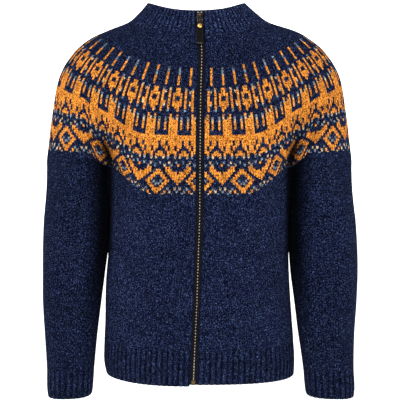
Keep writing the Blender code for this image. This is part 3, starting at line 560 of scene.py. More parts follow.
class Net:
    """A surface read on a coarse net, and from it at any level and share of the way around."""

    def __init__(self, point, stations, first, last, anchors, centre=(0.0, 0.0)):
        self.levels = np.linspace(first, last, NET_STEPS + 1)
        self.points = np.array([[point(station, float(level)) for station in stations]
                                for level in self.levels])
        self.anchors = anchors
        middle = self.points[NET_STEPS // 2]
        along, down = np.gradient(middle, axis=0), self.points[-1] - self.points[0]
        out = middle[:, :2] - np.array(centre)
        self.sign = 1.0 if np.sum(np.cross(along, down)[:, :2] * out) > 0.0 else -1.0

    def lines(self, levels):
        """Whole lines of the net at the given levels, on smooth curves from row to row."""
        place = (np.asarray(levels) - self.levels[0]) / (self.levels[1] - self.levels[0])
        place = np.clip(place, 0.0, NET_STEPS)
        index = np.minimum(place.astype(int), NET_STEPS - 1)
        t = (place - index)[:, None, None]
        before = self.points[np.maximum(index - 1, 0)]
        start, end = self.points[index], self.points[index + 1]
        after = self.points[np.minimum(index + 2, NET_STEPS)]
        return (start + 0.5 * t * (end - before
                                   + t * (2 * before - 5 * start + 4 * end - after
                                          + t * (3 * (start - end) + after - before))))

    def read(self, levels, shares):
        """Points and outward normals at each level and each share of the way around."""
        lines = self.lines(levels)
        down = self.lines(np.asarray(levels) + NORMAL_STEP) - self.lines(np.asarray(levels) - NORMAL_STEP)
        along = np.gradient(lines, axis=1)
        normals = np.cross(along, down) * self.sign
        normals /= np.linalg.norm(normals, axis=2, keepdims=True) + 1e-12
        points = np.empty((len(lines), len(shares), 3))
        outs = np.empty_like(points)
        for row, line in enumerate(lines):
            run = run_along(line)
            places = np.interp(run, [run[index] for index, share in self.anchors],
                               [share for index, share in self.anchors])
            for axis in range(3):
                points[row, :, axis] = np.interp(shares, places, line[:, axis])
                outs[row, :, axis] = np.interp(shares, places, normals[row, :, axis])
        outs /= np.linalg.norm(outs, axis=2, keepdims=True) + 1e-12
        return points, outs


# Soft folds, in the plane of the front: face is -1 for the front and 1 for the back, places are
# (x, z), bow bends the line sideways, height is of its crest, or below nought of its trough
Fold = namedtuple("Fold", "face start end bow width height")
FOLDS = (
    # Collar foot
    Fold(-1, (-0.098, 0.020), (-0.128, -0.012), 0.003, 0.0060, -0.0022),
    Fold(-1, (-0.090, 0.008), (-0.112, -0.020), 0.002, 0.0070, 0.0010),
    Fold(-1, (0.066, 0.016), (0.103, -0.012), -0.003, 0.0060, -0.0021),
    Fold(-1, (0.060, 0.002), (0.088, -0.022), -0.002, 0.0070, 0.0010),
    Fold(1, (-0.085, 0.024), (-0.055, -0.004), 0.003, 0.0070, -0.0018),
    Fold(1, (0.080, 0.026), (0.058, -0.006), -0.003, 0.0065, -0.0020),
    # Drag lines from the armpits
    Fold(-1, (-0.165, -0.262), (-0.095, -0.335), 0.012, 0.0160, -0.0020),
    Fold(-1, (-0.168, -0.300), (-0.112, -0.398), 0.008, 0.0150, 0.0018),
    Fold(-1, (0.163, -0.268), (0.105, -0.352), -0.012, 0.0150, -0.0019),
    Fold(-1, (0.165, -0.310), (0.120, -0.425), -0.006, 0.0170, 0.0017),
    Fold(-1, (-0.150, -0.235), (-0.118, -0.120), -0.010, 0.0120, -0.0014),
    Fold(-1, (0.150, -0.238), (0.124, -0.128), 0.010, 0.0120, -0.0015),
    Fold(1, (-0.150, -0.262), (-0.080, -0.350), 0.012, 0.0170, -0.0026),
    Fold(1, (-0.158, -0.318), (-0.100, -0.430), 0.008, 0.0160, 0.0020),
    Fold(1, (0.152, -0.266), (0.092, -0.368), -0.012, 0.0165, -0.0024),
    Fold(1, (0.158, -0.330), (0.108, -0.446), -0.007, 0.0160, 0.0021),
    Fold(1, (-0.142, -0.225), (-0.112, -0.105), -0.010, 0.0140, -0.0018),
    Fold(1, (0.140, -0.222), (0.106, -0.110), 0.010, 0.0140, -0.0017),
    # Soft lengthwise hang of the body
    Fold(-1, (-0.118, -0.360), (-0.128, -0.575), 0.004, 0.0170, -0.0016),
    Fold(-1, (-0.078, -0.420), (-0.084, -0.580), -0.003, 0.0200, 0.0012),
    Fold(-1, (-0.040, -0.470), (-0.046, -0.582), 0.002, 0.0140, -0.0009),
    Fold(-1, (0.122, -0.380), (0.130, -0.578), -0.004, 0.0170, -0.0015),
    Fold(-1, (0.082, -0.440), (0.086, -0.580), 0.003, 0.0190, 0.0011),
    Fold(-1, (0.038, -0.485), (0.034, -0.582), -0.002, 0.0140, -0.0009),
    Fold(1, (-0.020, -0.330), (-0.034, -0.560), 0.008, 0.0220, -0.0024),
    Fold(1, (0.046, -0.365), (0.052, -0.578), -0.006, 0.0200, 0.0020),
    Fold(1, (-0.082, -0.440), (-0.088, -0.580), -0.004, 0.0180, 0.0017),
    Fold(1, (0.105, -0.455), (0.112, -0.580), 0.004, 0.0170, -0.0016),
    Fold(1, (-0.060, -0.055), (0.055, -0.060), -0.012, 0.0110, -0.0012),
    # Sleeves
    Fold(-1, (-0.282, -0.330), (-0.205, -0.352), 0.006, 0.0130, -0.0016),
    Fold(-1, (-0.292, -0.402), (-0.226, -0.432), 0.004, 0.0120, 0.0014),
    Fold(-1, (-0.190, -0.405), (-0.262, -0.462), -0.006, 0.0130, -0.0020),
    Fold(-1, (-0.296, -0.480), (-0.224, -0.500), 0.005, 0.0110, 0.0015),
    Fold(-1, (-0.205, -0.545), (-0.275, -0.572), -0.005, 0.0110, -0.0017),
    Fold(-1, (-0.290, -0.598), (-0.222, -0.612), 0.004, 0.0095, 0.0016),
    Fold(-1, (-0.210, -0.618), (-0.282, -0.628), -0.003, 0.0080, -0.0013),
    Fold(-1, (0.280, -0.322), (0.208, -0.350), -0.006, 0.0130, -0.0015),
    Fold(-1, (0.188, -0.395), (0.254, -0.450), 0.006, 0.0130, -0.0019),
    Fold(-1, (0.294, -0.420), (0.232, -0.446), -0.004, 0.0125, 0.0014),
    Fold(-1, (0.292, -0.505), (0.216, -0.528), -0.005, 0.0110, 0.0015),
    Fold(-1, (0.198, -0.560), (0.270, -0.584), 0.005, 0.0110, -0.0017),
    Fold(-1, (0.288, -0.606), (0.216, -0.618), -0.004, 0.0090, 0.0015),
    Fold(1, (-0.285, -0.345), (-0.200, -0.368), 0.006, 0.0140, -0.0018),
    Fold(1, (-0.290, -0.420), (-0.212, -0.440), -0.006, 0.0130, 0.0018),
    Fold(1, (-0.205, -0.458), (-0.286, -0.480), 0.006, 0.0120, -0.0022),
    Fold(1, (-0.290, -0.560), (-0.214, -0.584), 0.004, 0.0110, 0.0016),
    Fold(1, (-0.210, -0.604), (-0.285, -0.618), -0.003, 0.0090, -0.0016),
    Fold(1, (0.285, -0.340), (0.204, -0.372), -0.006, 0.0140, -0.0018),
    Fold(1, (0.288, -0.430), (0.206, -0.448), 0.006, 0.0130, 0.0018),
    Fold(1, (0.202, -0.470), (0.284, -0.492), -0.006, 0.0120, -0.0022),
    Fold(1, (0.288, -0.548), (0.208, -0.576), -0.004, 0.0110, 0.0016),
    Fold(1, (0.204, -0.606), (0.282, -0.616), 0.003, 0.0090, -0.0015),
)
FOLD_SIDE_BLEND = 0.045


def fold_heights(points):
    """How far the folds lift each point off the smooth form."""
    flat = points.reshape(-1, 3)
    total = np.zeros(len(flat))
    strength = bpy.context.scene.cardigan_knit.fold_strength
    for fold in FOLDS:
        start, end = np.array(fold.start), np.array(fold.end)
        run = end - start
        length = np.linalg.norm(run)
        aside = np.array((-run[1], run[0])) / length
        offset = flat[:, (0, 2)] - start
        share = offset @ run / length ** 2
        bow = fold.bow * 4.0 * share * (1.0 - share)
        distance = offset @ aside - bow
        inside = np.clip(share, 0.0, 1.0)
        taper = np.sin(np.pi * inside) ** 0.8
        facing = soft_steps(0.0, FOLD_SIDE_BLEND, flat[:, 1] * fold.face)
        total += fold.height * strength * taper * facing * np.exp(-(distance / fold.width) ** 2)
    return total.reshape(points.shape[:-1])


class Cloth:
    """The points and faces of one piece of knitting, with the stitch and the yarn of each face."""

    def __init__(self):
        self.points = []
        self.count = 0
        self.faces = []
        self.places = []
        self.yarns = []
        self.shades = []

    def row(self, points, closed):
        """Adds a row of points, closed to a ring where it is one, and says which they are."""
        if closed:
            points = points[:-1]
        ids = np.arange(self.count, self.count + len(points))
        self.points.append(points)
        self.count += len(points)
        return np.append(ids, ids[0]) if closed else ids

    def add(self, faces, places, yarns, shades):
        self.faces.append(faces)
        self.places.append(places)
        self.yarns.append(yarns)
        self.shades.append(shades)

    def quads(self, upper, lower, upper_places, lower_places, yarns, shades):
        """Faces between two rows that have as many points."""
        faces = np.stack((upper[:-1], upper[1:], lower[1:], lower[:-1]), axis=1)
        places = np.stack((upper_places[:-1], upper_places[1:], lower_places[1:], lower_places[:-1]),
                          axis=1)
        self.add(faces, places, yarns, shades)

    def gusset(self, upper, lower, upper_places, lower_places, scale, upper_shades=None):
        """Triangles between two rows that have different numbers of points."""
        if upper_shades is None:
            upper_shades = np.full(len(upper), PLAIN_SHADE)
        shades = []
        upper_run, lower_run = [(places[:, 0] - places[0, 0]) / (places[-1, 0] - places[0, 0])
                                for places in (upper_places, lower_places)]
        upper_local = np.stack((upper_run * scale, upper_places[:, 1]), axis=1)
        lower_local = np.stack((lower_run * scale, lower_places[:, 1]), axis=1)
        faces = []
        places = []
        first, second = 0, 0
        while first < len(upper) - 1 or second < len(lower) - 1:
            shades.append(upper_shades[first])
            if second == len(lower) - 1 or (first < len(upper) - 1
                                            and upper_run[first + 1] <= lower_run[second + 1]):
                faces.append((upper[first], upper[first + 1], lower[second]))
                places.append((upper_local[first], upper_local[first + 1], lower_local[second]))
                first += 1
            else:
                faces.append((upper[first], lower[second + 1], lower[second]))
                places.append((upper_local[first], lower_local[second + 1], lower_local[second]))
                second += 1
        self.add(np.array(faces), np.array(places), np.zeros(len(faces), int), np.array(shades))

    def finish(self, name, finish):
        """The piece as an object, its faces turned outwards."""
        mesh = bpy.data.meshes.new(name)
        faces = [face for block in self.faces for face in block.tolist()]
        mesh.from_pydata(np.concatenate(self.points).tolist(), [], faces)
        stitches = mesh.uv_layers.new(name="stitches")
        places = np.concatenate([block.reshape(-1, 2) for block in self.places])
        stitches.data.foreach_set("uv", places.ravel())
        sizes = np.array([len(face) for face in faces])
        yarns = np.repeat(np.concatenate(self.yarns), sizes)
        shades = np.repeat(np.concatenate(self.shades), sizes)
        # Red, green and blue mark the pattern yarns; alpha holds each face's random tone times its
        # painted shade and painted light
        colours = np.stack([yarns == ORANGE, yarns == CREAM, yarns == PALE, shades], axis=1).astype(float)
        layer = mesh.color_attributes.new(name="yarn", type="FLOAT_COLOR", domain="CORNER")
        layer.data.foreach_set("color", colours.ravel())
        shape = bmesh.new()
        shape.from_mesh(mesh)
        bmesh.ops.recalc_face_normals(shape, faces=shape.faces)
        shape.to_mesh(mesh)
        shape.free()
        mesh.materials.append(finish)
        mesh.shade_smooth()
        piece = bpy.data.objects.new(name, mesh)
        bpy.context.scene.collection.objects.link(piece)
        return piece


def chart_yarns(zone, row):
    """The yarn of each wale in a row, mirrored about the middle of the back."""
    if not zone.chart:
        return np.zeros(zone.wales, int)
    line = zone.chart[row % len(zone.chart)]
    half = zone.wales // 2
    codes = [YARN_LETTERS[line[(wale + zone.phase) % len(line)]] for wale in range(half)]
    return np.array(codes + codes[::-1])


def wale_points(net, levels, row_numbers, total_rows, wales, columns, reliefs, random, part):
    """Rows of points along the lines between the stitches, each column hung and raised."""
    per_wale = len(columns)
    shares = np.arange(wales * per_wale + 1) / (wales * per_wale)
    points = np.empty((len(row_numbers), len(shares), 3))
    normals = np.empty_like(points)
    heights = np.empty(len(shares))
    for column, (_, hang, height) in enumerate(columns):
        here = np.arange(column, len(shares), per_wale)
        hangs = np.array([0.0 if number in (0, total_rows) else hang for number in row_numbers])
        at = np.interp(np.array(row_numbers) + hangs, np.arange(total_rows + 1), levels)
        points[:, here], normals[:, here] = net.read(at, shares[here])
        heights[here] = height
    lift = heights[None, :] * reliefs[row_numbers][:, None]
    lift = lift + random.normal(0.0, UNEVENNESS, points.shape[:2])
    lift = lift + fold_heights(points) + gap_swell(points, part)
    return points + normals * lift[:, :, None], normals


def row_reliefs(count, relief, fade):
    """The relief of each row, which a rib gains or loses over a few rows at a seam."""
    reliefs = np.full(count + 1, relief)
    if fade:
        shares = np.array(RIB_FADE) * relief
        if fade == "top":
            reliefs[:len(shares)] = shares
        else:
            reliefs[-len(shares):] = shares[::-1]
    return reliefs


def knit(name, net, zones, finish, seed, columns=WALE_COLUMNS, relief=0.0007, closed=False,
         top="tuck", bottom="roll", wall=0.0034, inner_columns=96, inner_rows=14, fade=None,
         part=None, painted_lighting=1.0):
    """One piece of knitting: a finely stitched outside, a plainer inside, and turned edges between."""
    random = np.random.default_rng(seed)
    total_rows = sum(zone.rows for zone in zones) + len(zones) - 1
    levels = level_of_rows(net, total_rows)
    cloth = Cloth()
    lines = []
    number = 0
    per_wale = len(columns)
    for zone in zones:
        numbers = list(range(number, number + zone.rows + 1))
        reliefs = row_reliefs(total_rows, relief, fade)
        points, normals = wale_points(net, levels, numbers, total_rows, zone.wales, columns, reliefs,
                                      random, part)
        # Each stitch's random tone times the piece's painted light or painted shade, and beside the arm's
        # gap times its painted shade
        wale_shades = painted_lighting * (SHADE_LEAST + SHADE_SPREAD * random.random((zone.rows, zone.wales)))
        if part:
            middles = points[:-1, per_wale // 2::per_wale]
            wale_shades = wale_shades * gap_shade(middles[:zone.rows, :zone.wales], part)
        for index, row_number in enumerate(numbers):
            places = np.stack((np.arange(points.shape[1]) / per_wale,
                               np.full(points.shape[1], float(row_number))), axis=1)
            yarns = shades = None
            if index < zone.rows:
                yarns = np.repeat(chart_yarns(zone, index), per_wale)
                shades = np.repeat(wale_shades[index], per_wale)
            lines.append([points[index], normals[index], places, yarns, shades, zone.wales])
        number += zone.rows + 1
    lines = with_edges(lines, top, bottom)
    if not closed:
        lines = [with_side_roll(line) for line in lines]
    rows = [cloth.row(line[0], closed) for line in lines]
    for index in range(len(lines) - 1):
        upper, lower = lines[index], lines[index + 1]
        if upper[3] is not None and len(upper[0]) == len(lower[0]):
            cloth.quads(rows[index], rows[index + 1], upper[2], lower[2], upper[3], upper[4])
        else:
            # Between zones, the gap's painted shade times the piece's painted light or painted shade
            gap_shades = gap_shade(upper[0], part) * painted_lighting if part else None
            cloth.gusset(rows[index], rows[index + 1], upper[2], lower[2], upper[5], gap_shades)
    add_inside(cloth, net, lines, rows, levels, wall, inner_columns, inner_rows, closed)
    return cloth.finish(name, finish)


def turned_lines(line, before, turn, way):
    """The further lines of an edge that rolls in or is tucked under the next piece."""
    direction = line[0] - before[0]
    direction = direction / np.linalg.norm(direction, axis=1, keepdims=True)
    count = len(line[0]) - 1
    turned = []
    for along, into in EDGE_TURNS[turn]:
        places = line[2].copy()
        places[:, 1] = line[2][0, 1] + way * (1.0 if turn == "tuck" else along / STITCH_RUN)
        # Turned edges get painted shade
        turned.append([line[0] + direction * along - line[1] * into, line[1], places,
                       np.zeros(count, int), np.full(count, EDGE_PAINTED_SHADE), line[5]])
    return turned


def with_edges(lines, top, bottom):
    """Adds the lines that turn the upper and the lower edge in."""
    above = turned_lines(lines[0], lines[1], top, -1.0)[::-1]
    below = turned_lines(lines[-1], lines[-2], bottom, 1.0)
    if below:
        lines[-1][3:5] = below[0][3:5]
    return above + lines + below


def with_side_roll(line):
    """Turns both ends of a line in, where the cloth has a free edge at the zip."""
    points, normals, places, yarns, shades, wales = line
    turns = {}
    for end, step, way in ((0, 4, -1.0), (-1, -5, 1.0)):
        direction = points[end] - points[step]
        direction = direction / np.linalg.norm(direction)
        turns[end] = [(points[end] + direction * along - normals[end] * into, normals[end],
                       (places[end, 0] + way * along / STITCH_RUN, places[end, 1]))
                      for along, into in EDGE_ROLL]
    joined = [np.concatenate(([turn[index] for turn in turns[0][::-1]], values,
                              [turn[index] for turn in turns[-1]]))
              for index, values in enumerate((points, normals, places))]
    if yarns is not None:
        yarns = np.concatenate(([NAVY, NAVY], yarns, [NAVY, NAVY]))
        # The rolled ends get painted shade
        shades = np.concatenate(([EDGE_PAINTED_SHADE, EDGE_PAINTED_SHADE], shades, [EDGE_PAINTED_SHADE, EDGE_PAINTED_SHADE]))
    return [*joined, yarns, shades, wales]


def add_inside(cloth, net, lines, rows, levels, wall, columns, inner_rows, closed):
    """The plainer inside of a piece and the strips that close its edges."""
    shares = np.linspace(0.0, 1.0, columns + 1)
    picks = np.linspace(0, len(levels) - 1, inner_rows + 1).round().astype(int)
    points, normals = net.read(levels[picks], shares)
    points = points + normals * (fold_heights(points) - wall)[:, :, None]
    wales = lines[0][5]
    inner_ids = []
    inner_places = []
    for index, pick in enumerate(picks):
        inner_ids.append(cloth.row(points[index], closed))
        inner_places.append(np.stack((shares * wales, np.full(len(shares), float(pick))), axis=1))
    for index in range(inner_rows):
        # The inside gets painted shade
        cloth.quads(inner_ids[index][::-1], inner_ids[index + 1][::-1], inner_places[index][::-1],
                    inner_places[index + 1][::-1], np.zeros(columns, int),
                    np.full(columns, INSIDE_PAINTED_SHADE))
    cloth.gusset(inner_ids[0], rows[0], inner_places[0], lines[0][2], wales)
    cloth.gusset(rows[-1], inner_ids[-1], lines[-1][2], inner_places[-1], lines[-1][5])
    if closed:
        return
    for end in (0, -1):
        outer = np.array([row[end] for row in rows])
        inner = np.array([ids[end] for ids in inner_ids])
        outer_run = np.stack((np.linspace(0.0, 1.0, len(outer)), np.zeros(len(outer))), axis=1)
        inner_run = np.stack((np.linspace(0.0, 1.0, len(inner)), np.ones(len(inner))), axis=1)
        cloth.gusset(outer, inner, outer_run, inner_run, float(len(outer)))


def sum_of(operation, reflected=False):
    """A Math node's operation as an operator of the class Wire."""
    def made(wire, other=None):
        terms = {0: wire}
        if other is not None:
            terms = {0: other, 1: wire} if reflected else {0: wire, 1: other}
        return wire.finish.node("ShaderNodeMath", {"operation": operation}, terms)
    return made


class Wire:
    """A shader socket that can be used in sums."""

    def __init__(self, finish, socket):
        self.finish = finish
        self.socket = socket

    __add__, __radd__ = sum_of("ADD"), sum_of("ADD", True)
    __sub__, __rsub__ = sum_of("SUBTRACT"), sum_of("SUBTRACT", True)
    __mul__, __rmul__ = sum_of("MULTIPLY"), sum_of("MULTIPLY", True)
    __pow__, __rpow__ = sum_of("POWER"), sum_of("POWER", True)
    __mod__, __rmod__ = sum_of("FLOORED_MODULO"), sum_of("FLOORED_MODULO", True)
    __abs__, sine = sum_of("ABSOLUTE"), sum_of("SINE")


class Finish:
    """One procedural material."""

    def __init__(self, name, roughness=0.5, metallic=0.0, **constants):
        self.material = bpy.data.materials.new(name)
        self.material.use_nodes = True
        self.tree = self.material.node_tree
        self.shader = self.tree.nodes["Principled BSDF"]
        self.shader.inputs["Roughness"].default_value = roughness
        self.shader.inputs["Metallic"].default_value = metallic
        for socket, value in constants.items():
            self.shader.inputs[socket.replace("_", " ")].default_value = value

    def node(self, kind, settings, values, output=0):
        """A node with its settings and then the values or links of its sockets."""
        made = self.tree.nodes.new(kind)
        for name, value in settings.items():
            setattr(made, name, value)
        for socket, value in values.items():
            target = made.inputs[socket]
            if isinstance(value, Wire):
                self.tree.links.new(value.socket, target)
            else:
                target.default_value = value
        return Wire(self, made.outputs[output])

    def place(self):
        return self.node("ShaderNodeTexCoord", {}, {}, "Object")

    def noise(self, scale, detail=2.0, roughness=0.55, where=None, output=0):
        where = where or self.place()
        values = {"Vector": where, "Scale": scale, "Detail": detail, "Roughness": roughness}
        return self.node("ShaderNodeTexNoise", {}, values, output)

    def mapped(self, where, scale):
        return self.node("ShaderNodeMapping", {}, {"Vector": where, "Scale": scale})

    def spread(self, value, low, high, start=0.0, end=1.0):
        """A value from one range to another, held inside it."""
        ends = {"From Min": low, "From Max": high, "To Min": start, "To Max": end}
        return self.node("ShaderNodeMapRange", {"clamp": True}, {"Value": value, **ends})

    def mix(self, share, first, second, blend_type="MIX"):
        """A colour between two colours."""
        made = self.tree.nodes.new("ShaderNodeMix")
        made.data_type = "RGBA"
        made.blend_type = blend_type
        sockets = {"Factor_Float": share, "A_Color": first, "B_Color": second}
        for socket in made.inputs:
            if socket.identifier in sockets:
                value = sockets[socket.identifier]
                if isinstance(value, Wire):
                    self.tree.links.new(value.socket, socket)
                else:
                    socket.default_value = (*value, 1.0) if isinstance(value, tuple) else value
        return Wire(self, next(socket for socket in made.outputs if socket.identifier == "Result_Color"))

    def shade(self, colour, amount):
        """A colour made lighter or darker by an amount that varies."""
        grey = self.node("ShaderNodeCombineColor", {}, {"Red": amount, "Green": amount, "Blue": amount})
        return self.mix(1.0, colour, grey, "MULTIPLY")

    def parts(self, vector):
        made = self.node("ShaderNodeSeparateXYZ", {}, {"Vector": vector})
        return [Wire(self, socket) for socket in made.socket.node.outputs]

    def bump(self, height, distance, strength=1.0):
        values = {"Height": height, "Distance": distance, "Strength": strength}
        return self.node("ShaderNodeBump", {}, values)

    def feed(self, **inputs):
        for socket, wire in inputs.items():
            self.tree.links.new(wire.socket, self.shader.inputs[socket.replace("_", " ")])
        return self.material


def constant(colour):
    return tuple(colour)[:3]


def wool(name, rib=False):
    """Heathered wool in stitches, with the yarns of the yoke where the piece has them, and painted shade
    in its grooves.
    """
    colours = bpy.context.scene.cardigan_yarn
    finish = Finish(name, roughness=0.95, Sheen_Weight=0.015, Sheen_Roughness=0.5, IOR=1.4,
                    Specular_IOR_Level=0.02)
    finish.shader.inputs["Sheen Tint"].default_value = (0.55, 0.65, 1.0, 1.0)
    stitches = finish.node("ShaderNodeUVMap", {"uv_map": "stitches"}, {})
    across_way, along_way, _ = finish.parts(stitches)
    wale = across_way % 1.0
    row = along_way % 1.0
    if rib:
        wale = finish.spread(wale, 0.18, 0.82)
    from_middle = abs(wale - 0.5) * 2.0
    leg = 1.0 - (row * 2.0 - 1.0) * (row * 2.0 - 1.0)
    side_round = 1.0 - (from_middle * 2.0 - 1.0) * (from_middle * 2.0 - 1.0)
    ply = ((from_middle * 1.6 + row * 1.1) * (math.tau * 2.0)).sine()
    fuzz = finish.noise(2600.0, 2.0, 0.7)
    lumps = finish.noise(420.0, 2.0, 0.6)
    height = leg * 0.55 + side_round * 0.35 + ply * 0.06 + fuzz * 0.45 + lumps * 0.5
    yarn = finish.tree.nodes.new("ShaderNodeAttribute")
    yarn.attribute_name = "yarn"
    masks = finish.node("ShaderNodeSeparateColor", {}, {"Color": Wire(finish, yarn.outputs["Color"])})
    orange_mask, cream_mask, pale_mask = [Wire(finish, socket) for socket in masks.socket.node.outputs]
    stitch_shade = Wire(finish, yarn.outputs["Alpha"])
    grain = finish.noise(1150.0, 3.0, 0.75)
    fibres = finish.noise(430.0, 3.0, 0.85)
    drift = finish.noise(9.0, 3.0, 0.6)
    specks = finish.noise(640.0, 2.0, 0.7, output=1)
    hairs = finish.noise(440.0, 2.0, 0.8)
    ragged = finish.spread(hairs, 0.40, 0.54)
    navy = finish.mix(finish.spread(fibres, 0.38, 0.62), constant(colours.navy_deep),
                      constant(colours.navy))
    navy = finish.mix(finish.spread(fibres, 0.54, 0.66), navy, constant(colours.navy_light))
    navy = finish.mix(0.55, navy, specks, "OVERLAY")
    orange = finish.mix(finish.spread(fibres, 0.40, 0.54), constant(colours.orange_deep),
                        constant(colours.orange))
    colour = finish.mix(orange_mask * finish.spread(hairs, 0.37, 0.45), navy, orange)
    cream = finish.mix(finish.spread(grain, 0.35, 0.6), constant(colours.cream_deep),
                       constant(colours.cream))
    colour = finish.mix(cream_mask * ragged, colour, cream)
    colour = finish.mix(pale_mask * ragged, colour, constant(colours.pale_blue))
    # Painted shade: the colour darkens in the grooves between stitches and wales and in small pits, and
    # takes each face's tone with its painted shade and painted light from the attribute's alpha; drift is
    # a random tone
    valley = from_middle ** 5.0
    depth = (leg ** 0.6) * 0.35 + side_round * 0.14 + 0.62 - valley * 0.50
    amount = depth * stitch_shade * finish.spread(drift, 0.3, 0.7, 0.86, 1.14)
    pits = finish.spread(hairs, 0.39, 0.50, 0.10, 1.0)
    colour = finish.shade(colour, amount * pits)
    return finish.feed(Base_Color=colour, Roughness=finish.spread(grain, 0.3, 0.7, 0.86, 1.0),
                       Normal=finish.bump(height, 0.0009, 0.9))


def woven_tape(name):
    finish = Finish(name, roughness=0.9, Specular_IOR_Level=0.02)
    across_way, _, down = finish.parts(finish.place())
    rib = ((abs(across_way) * 5200.0) + (down * 3600.0)).sine()
    rows = (down * 9000.0).sine()
    grain = finish.noise(3000.0)
    colour = finish.mix(finish.spread(rib * 0.6 + rows * 0.2 + grain, -0.2, 1.3), (0.0025, 0.0028, 0.005),
                        (0.0110, 0.0120, 0.0200))
    weave = rib * 0.5 + rows * 0.3 + grain * 0.4
    return finish.feed(Base_Color=colour, Normal=finish.bump(weave, 0.00025, 0.8))


# Run between the painted glints: highlights painted into the colour where the coil's loops throw light
# through the slit
PAINTED_GLINT_RUN = 0.0056


def coil_wire(name):
    finish = Finish(name, roughness=0.6, Specular_IOR_Level=0.05)
    grain = finish.noise(1400.0)
    high = finish.parts(finish.place())[2]
    # Painted highlights: tan glints painted into the dark wire's colour, one run apart down the zip
    painted_glints = (high * (math.tau / PAINTED_GLINT_RUN)).sine() * 0.5 + finish.noise(150.0)
    dull = finish.mix(finish.spread(grain, 0.35, 0.7), (0.006, 0.005, 0.005), (0.022, 0.018, 0.016))
    colour = finish.mix(finish.spread(painted_glints, 0.50, 0.85), dull, (0.52, 0.40, 0.22))
    return finish.feed(Base_Color=colour, Normal=finish.bump(grain, 0.0001, 0.4))


def worn_metal(name, deep, face, bright, roughness):
    """Plated metal, dulled in patches and rubbed bright in others."""
    finish = Finish(name, roughness=roughness, metallic=0.95)
    patches = finish.noise(520.0, 4.0, 0.65)
    scratches = finish.noise(900.0, 2.0, 0.6, finish.mapped(finish.place(), (1.0, 1.0, 0.12)))
    colour = finish.mix(finish.spread(patches, 0.35, 0.60), deep, face)
    colour = finish.mix(finish.spread(patches * 0.6 + scratches * 0.5, 0.60, 0.72), colour, bright)
    return finish.feed(Base_Color=colour, Roughness=finish.spread(patches, 0.3, 0.7, roughness + 0.15,
                                                                  roughness - 0.08),
                       Normal=finish.bump(patches * 0.6 + scratches * 0.4, 0.00012, 0.5))


def pull_leather(name):
    finish = Finish(name, roughness=0.55, Specular_IOR_Level=0.05)
    where = finish.place()
    cells = finish.node("ShaderNodeTexVoronoi", {"feature": "DISTANCE_TO_EDGE"},
                        {"Vector": where, "Scale": 900.0})
    grain = finish.noise(1300.0, 3.0)
    pores = finish.spread(cells, 0.0, 0.18)
    colour = finish.mix(finish.spread(grain, 0.3, 0.75), (0.0020, 0.0016, 0.0015),
                        (0.0070, 0.0058, 0.0052))
    return finish.feed(Base_Color=colour, Roughness=finish.spread(grain, 0.3, 0.7, 0.42, 0.62),
                       Normal=finish.bump(pores * 0.7 + grain * 0.4, 0.00018, 0.7))


def edge_paint(name):
    finish = Finish(name, roughness=0.6, Specular_IOR_Level=0.1)
    grain = finish.noise(900.0, 3.0)
    colour = finish.mix(finish.spread(grain, 0.35, 0.7), (0.018, 0.022, 0.019), (0.052, 0.060, 0.050))
    return finish.feed(Base_Color=colour, Normal=finish.bump(grain, 0.0002, 0.5))


def sewing_thread(name):
    finish = Finish(name, roughness=0.55, Sheen_Weight=0.2)
    twist = (finish.parts(finish.place())[2] * 9000.0).sine()
    colour = finish.mix(finish.spread(twist, -1.0, 1.0), (0.006, 0.008, 0.02), (0.02, 0.026, 0.05))
    return finish.feed(Base_Color=colour, Normal=finish.bump(twist, 0.0001, 0.6))


# Stage: glow of the floor and of the backdrop, the backdrop's size, aim of the lights
FLOOR_GLOW = 0.45
BACKDROP_GLOW = 0.85
BACKDROP_RADIUS = 5.5
BACKDROP_HIGH = 4.0
LIGHT_AIM = (0.0, 0.0, -0.3)

# Each light's name, place, size, and the setting and the share of it that give its power
LIGHTS = (
    ("key_light", (-1.0, -2.6, 1.9), 1.4, "key_power", 1.0),
    ("front_light", (0.9, -3.0, 0.6), 1.6, "fill_power", 1.0),
    ("right_side_light", (-2.6, 0.5, 0.6), 1.2, "side_power", 1.0),
    ("left_side_light", (2.6, 0.5, 0.6), 1.2, "side_power", 1.0),
    ("back_light", (0.3, 2.8, 1.6), 1.8, "fill_power", 0.9),
)

# Camera
CAMERA_PLACE = (0.0, -2.3, -0.12)
CAMERA_AIM = (0.0, 0.0, -0.335)
CAMERA_SHIFT = (-0.0008, 0.0223)
SENSOR_WIDTH = 36.0


def pale_floor(name):
    finish = Finish(name, roughness=0.95, Specular_IOR_Level=0.1)
    finish.shader.inputs["Emission Color"].default_value = (1.0, 1.0, 1.0, 1.0)
    finish.shader.inputs["Emission Strength"].default_value = FLOOR_GLOW
    grain = finish.noise(6.0, 3.0)
    colour = finish.mix(finish.spread(grain, 0.3, 0.7), (0.90, 0.90, 0.90), (0.94, 0.94, 0.94))
    return finish.feed(Base_Color=colour)


def pale_backdrop(name):
    """An even white wall that lights a little of its own."""
    finish = Finish(name, roughness=1.0, Specular_IOR_Level=0.0)
    finish.shader.inputs["Emission Strength"].default_value = BACKDROP_GLOW
    _, _, high = finish.parts(finish.place())
    grain = finish.noise(3.0)
    colour = finish.mix(finish.spread(high + grain * 0.2, 0.6, 2.6), (1.0, 1.0, 1.0), (0.30, 0.30, 0.31))
    return finish.feed(Base_Color=colour, Emission_Color=colour)


def dress(piece, body, slot, *nodes):
    """Attaches a piece to what it rides on and hides the solids it stands for; the slot that says what it
    is made of is not used.
    """
    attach(piece, body)
    if nodes:
        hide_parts(*nodes)


def finish_node(name, material):
    """Gives a CAD node a better finish."""
    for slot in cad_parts[name].material_slots:
        slot.material = material


def yarn_colour(name, description, default):
    return FloatVectorProperty(name=name, description=description, default=default, size=3, min=0.0,
                               max=1.0, subtype="COLOR")


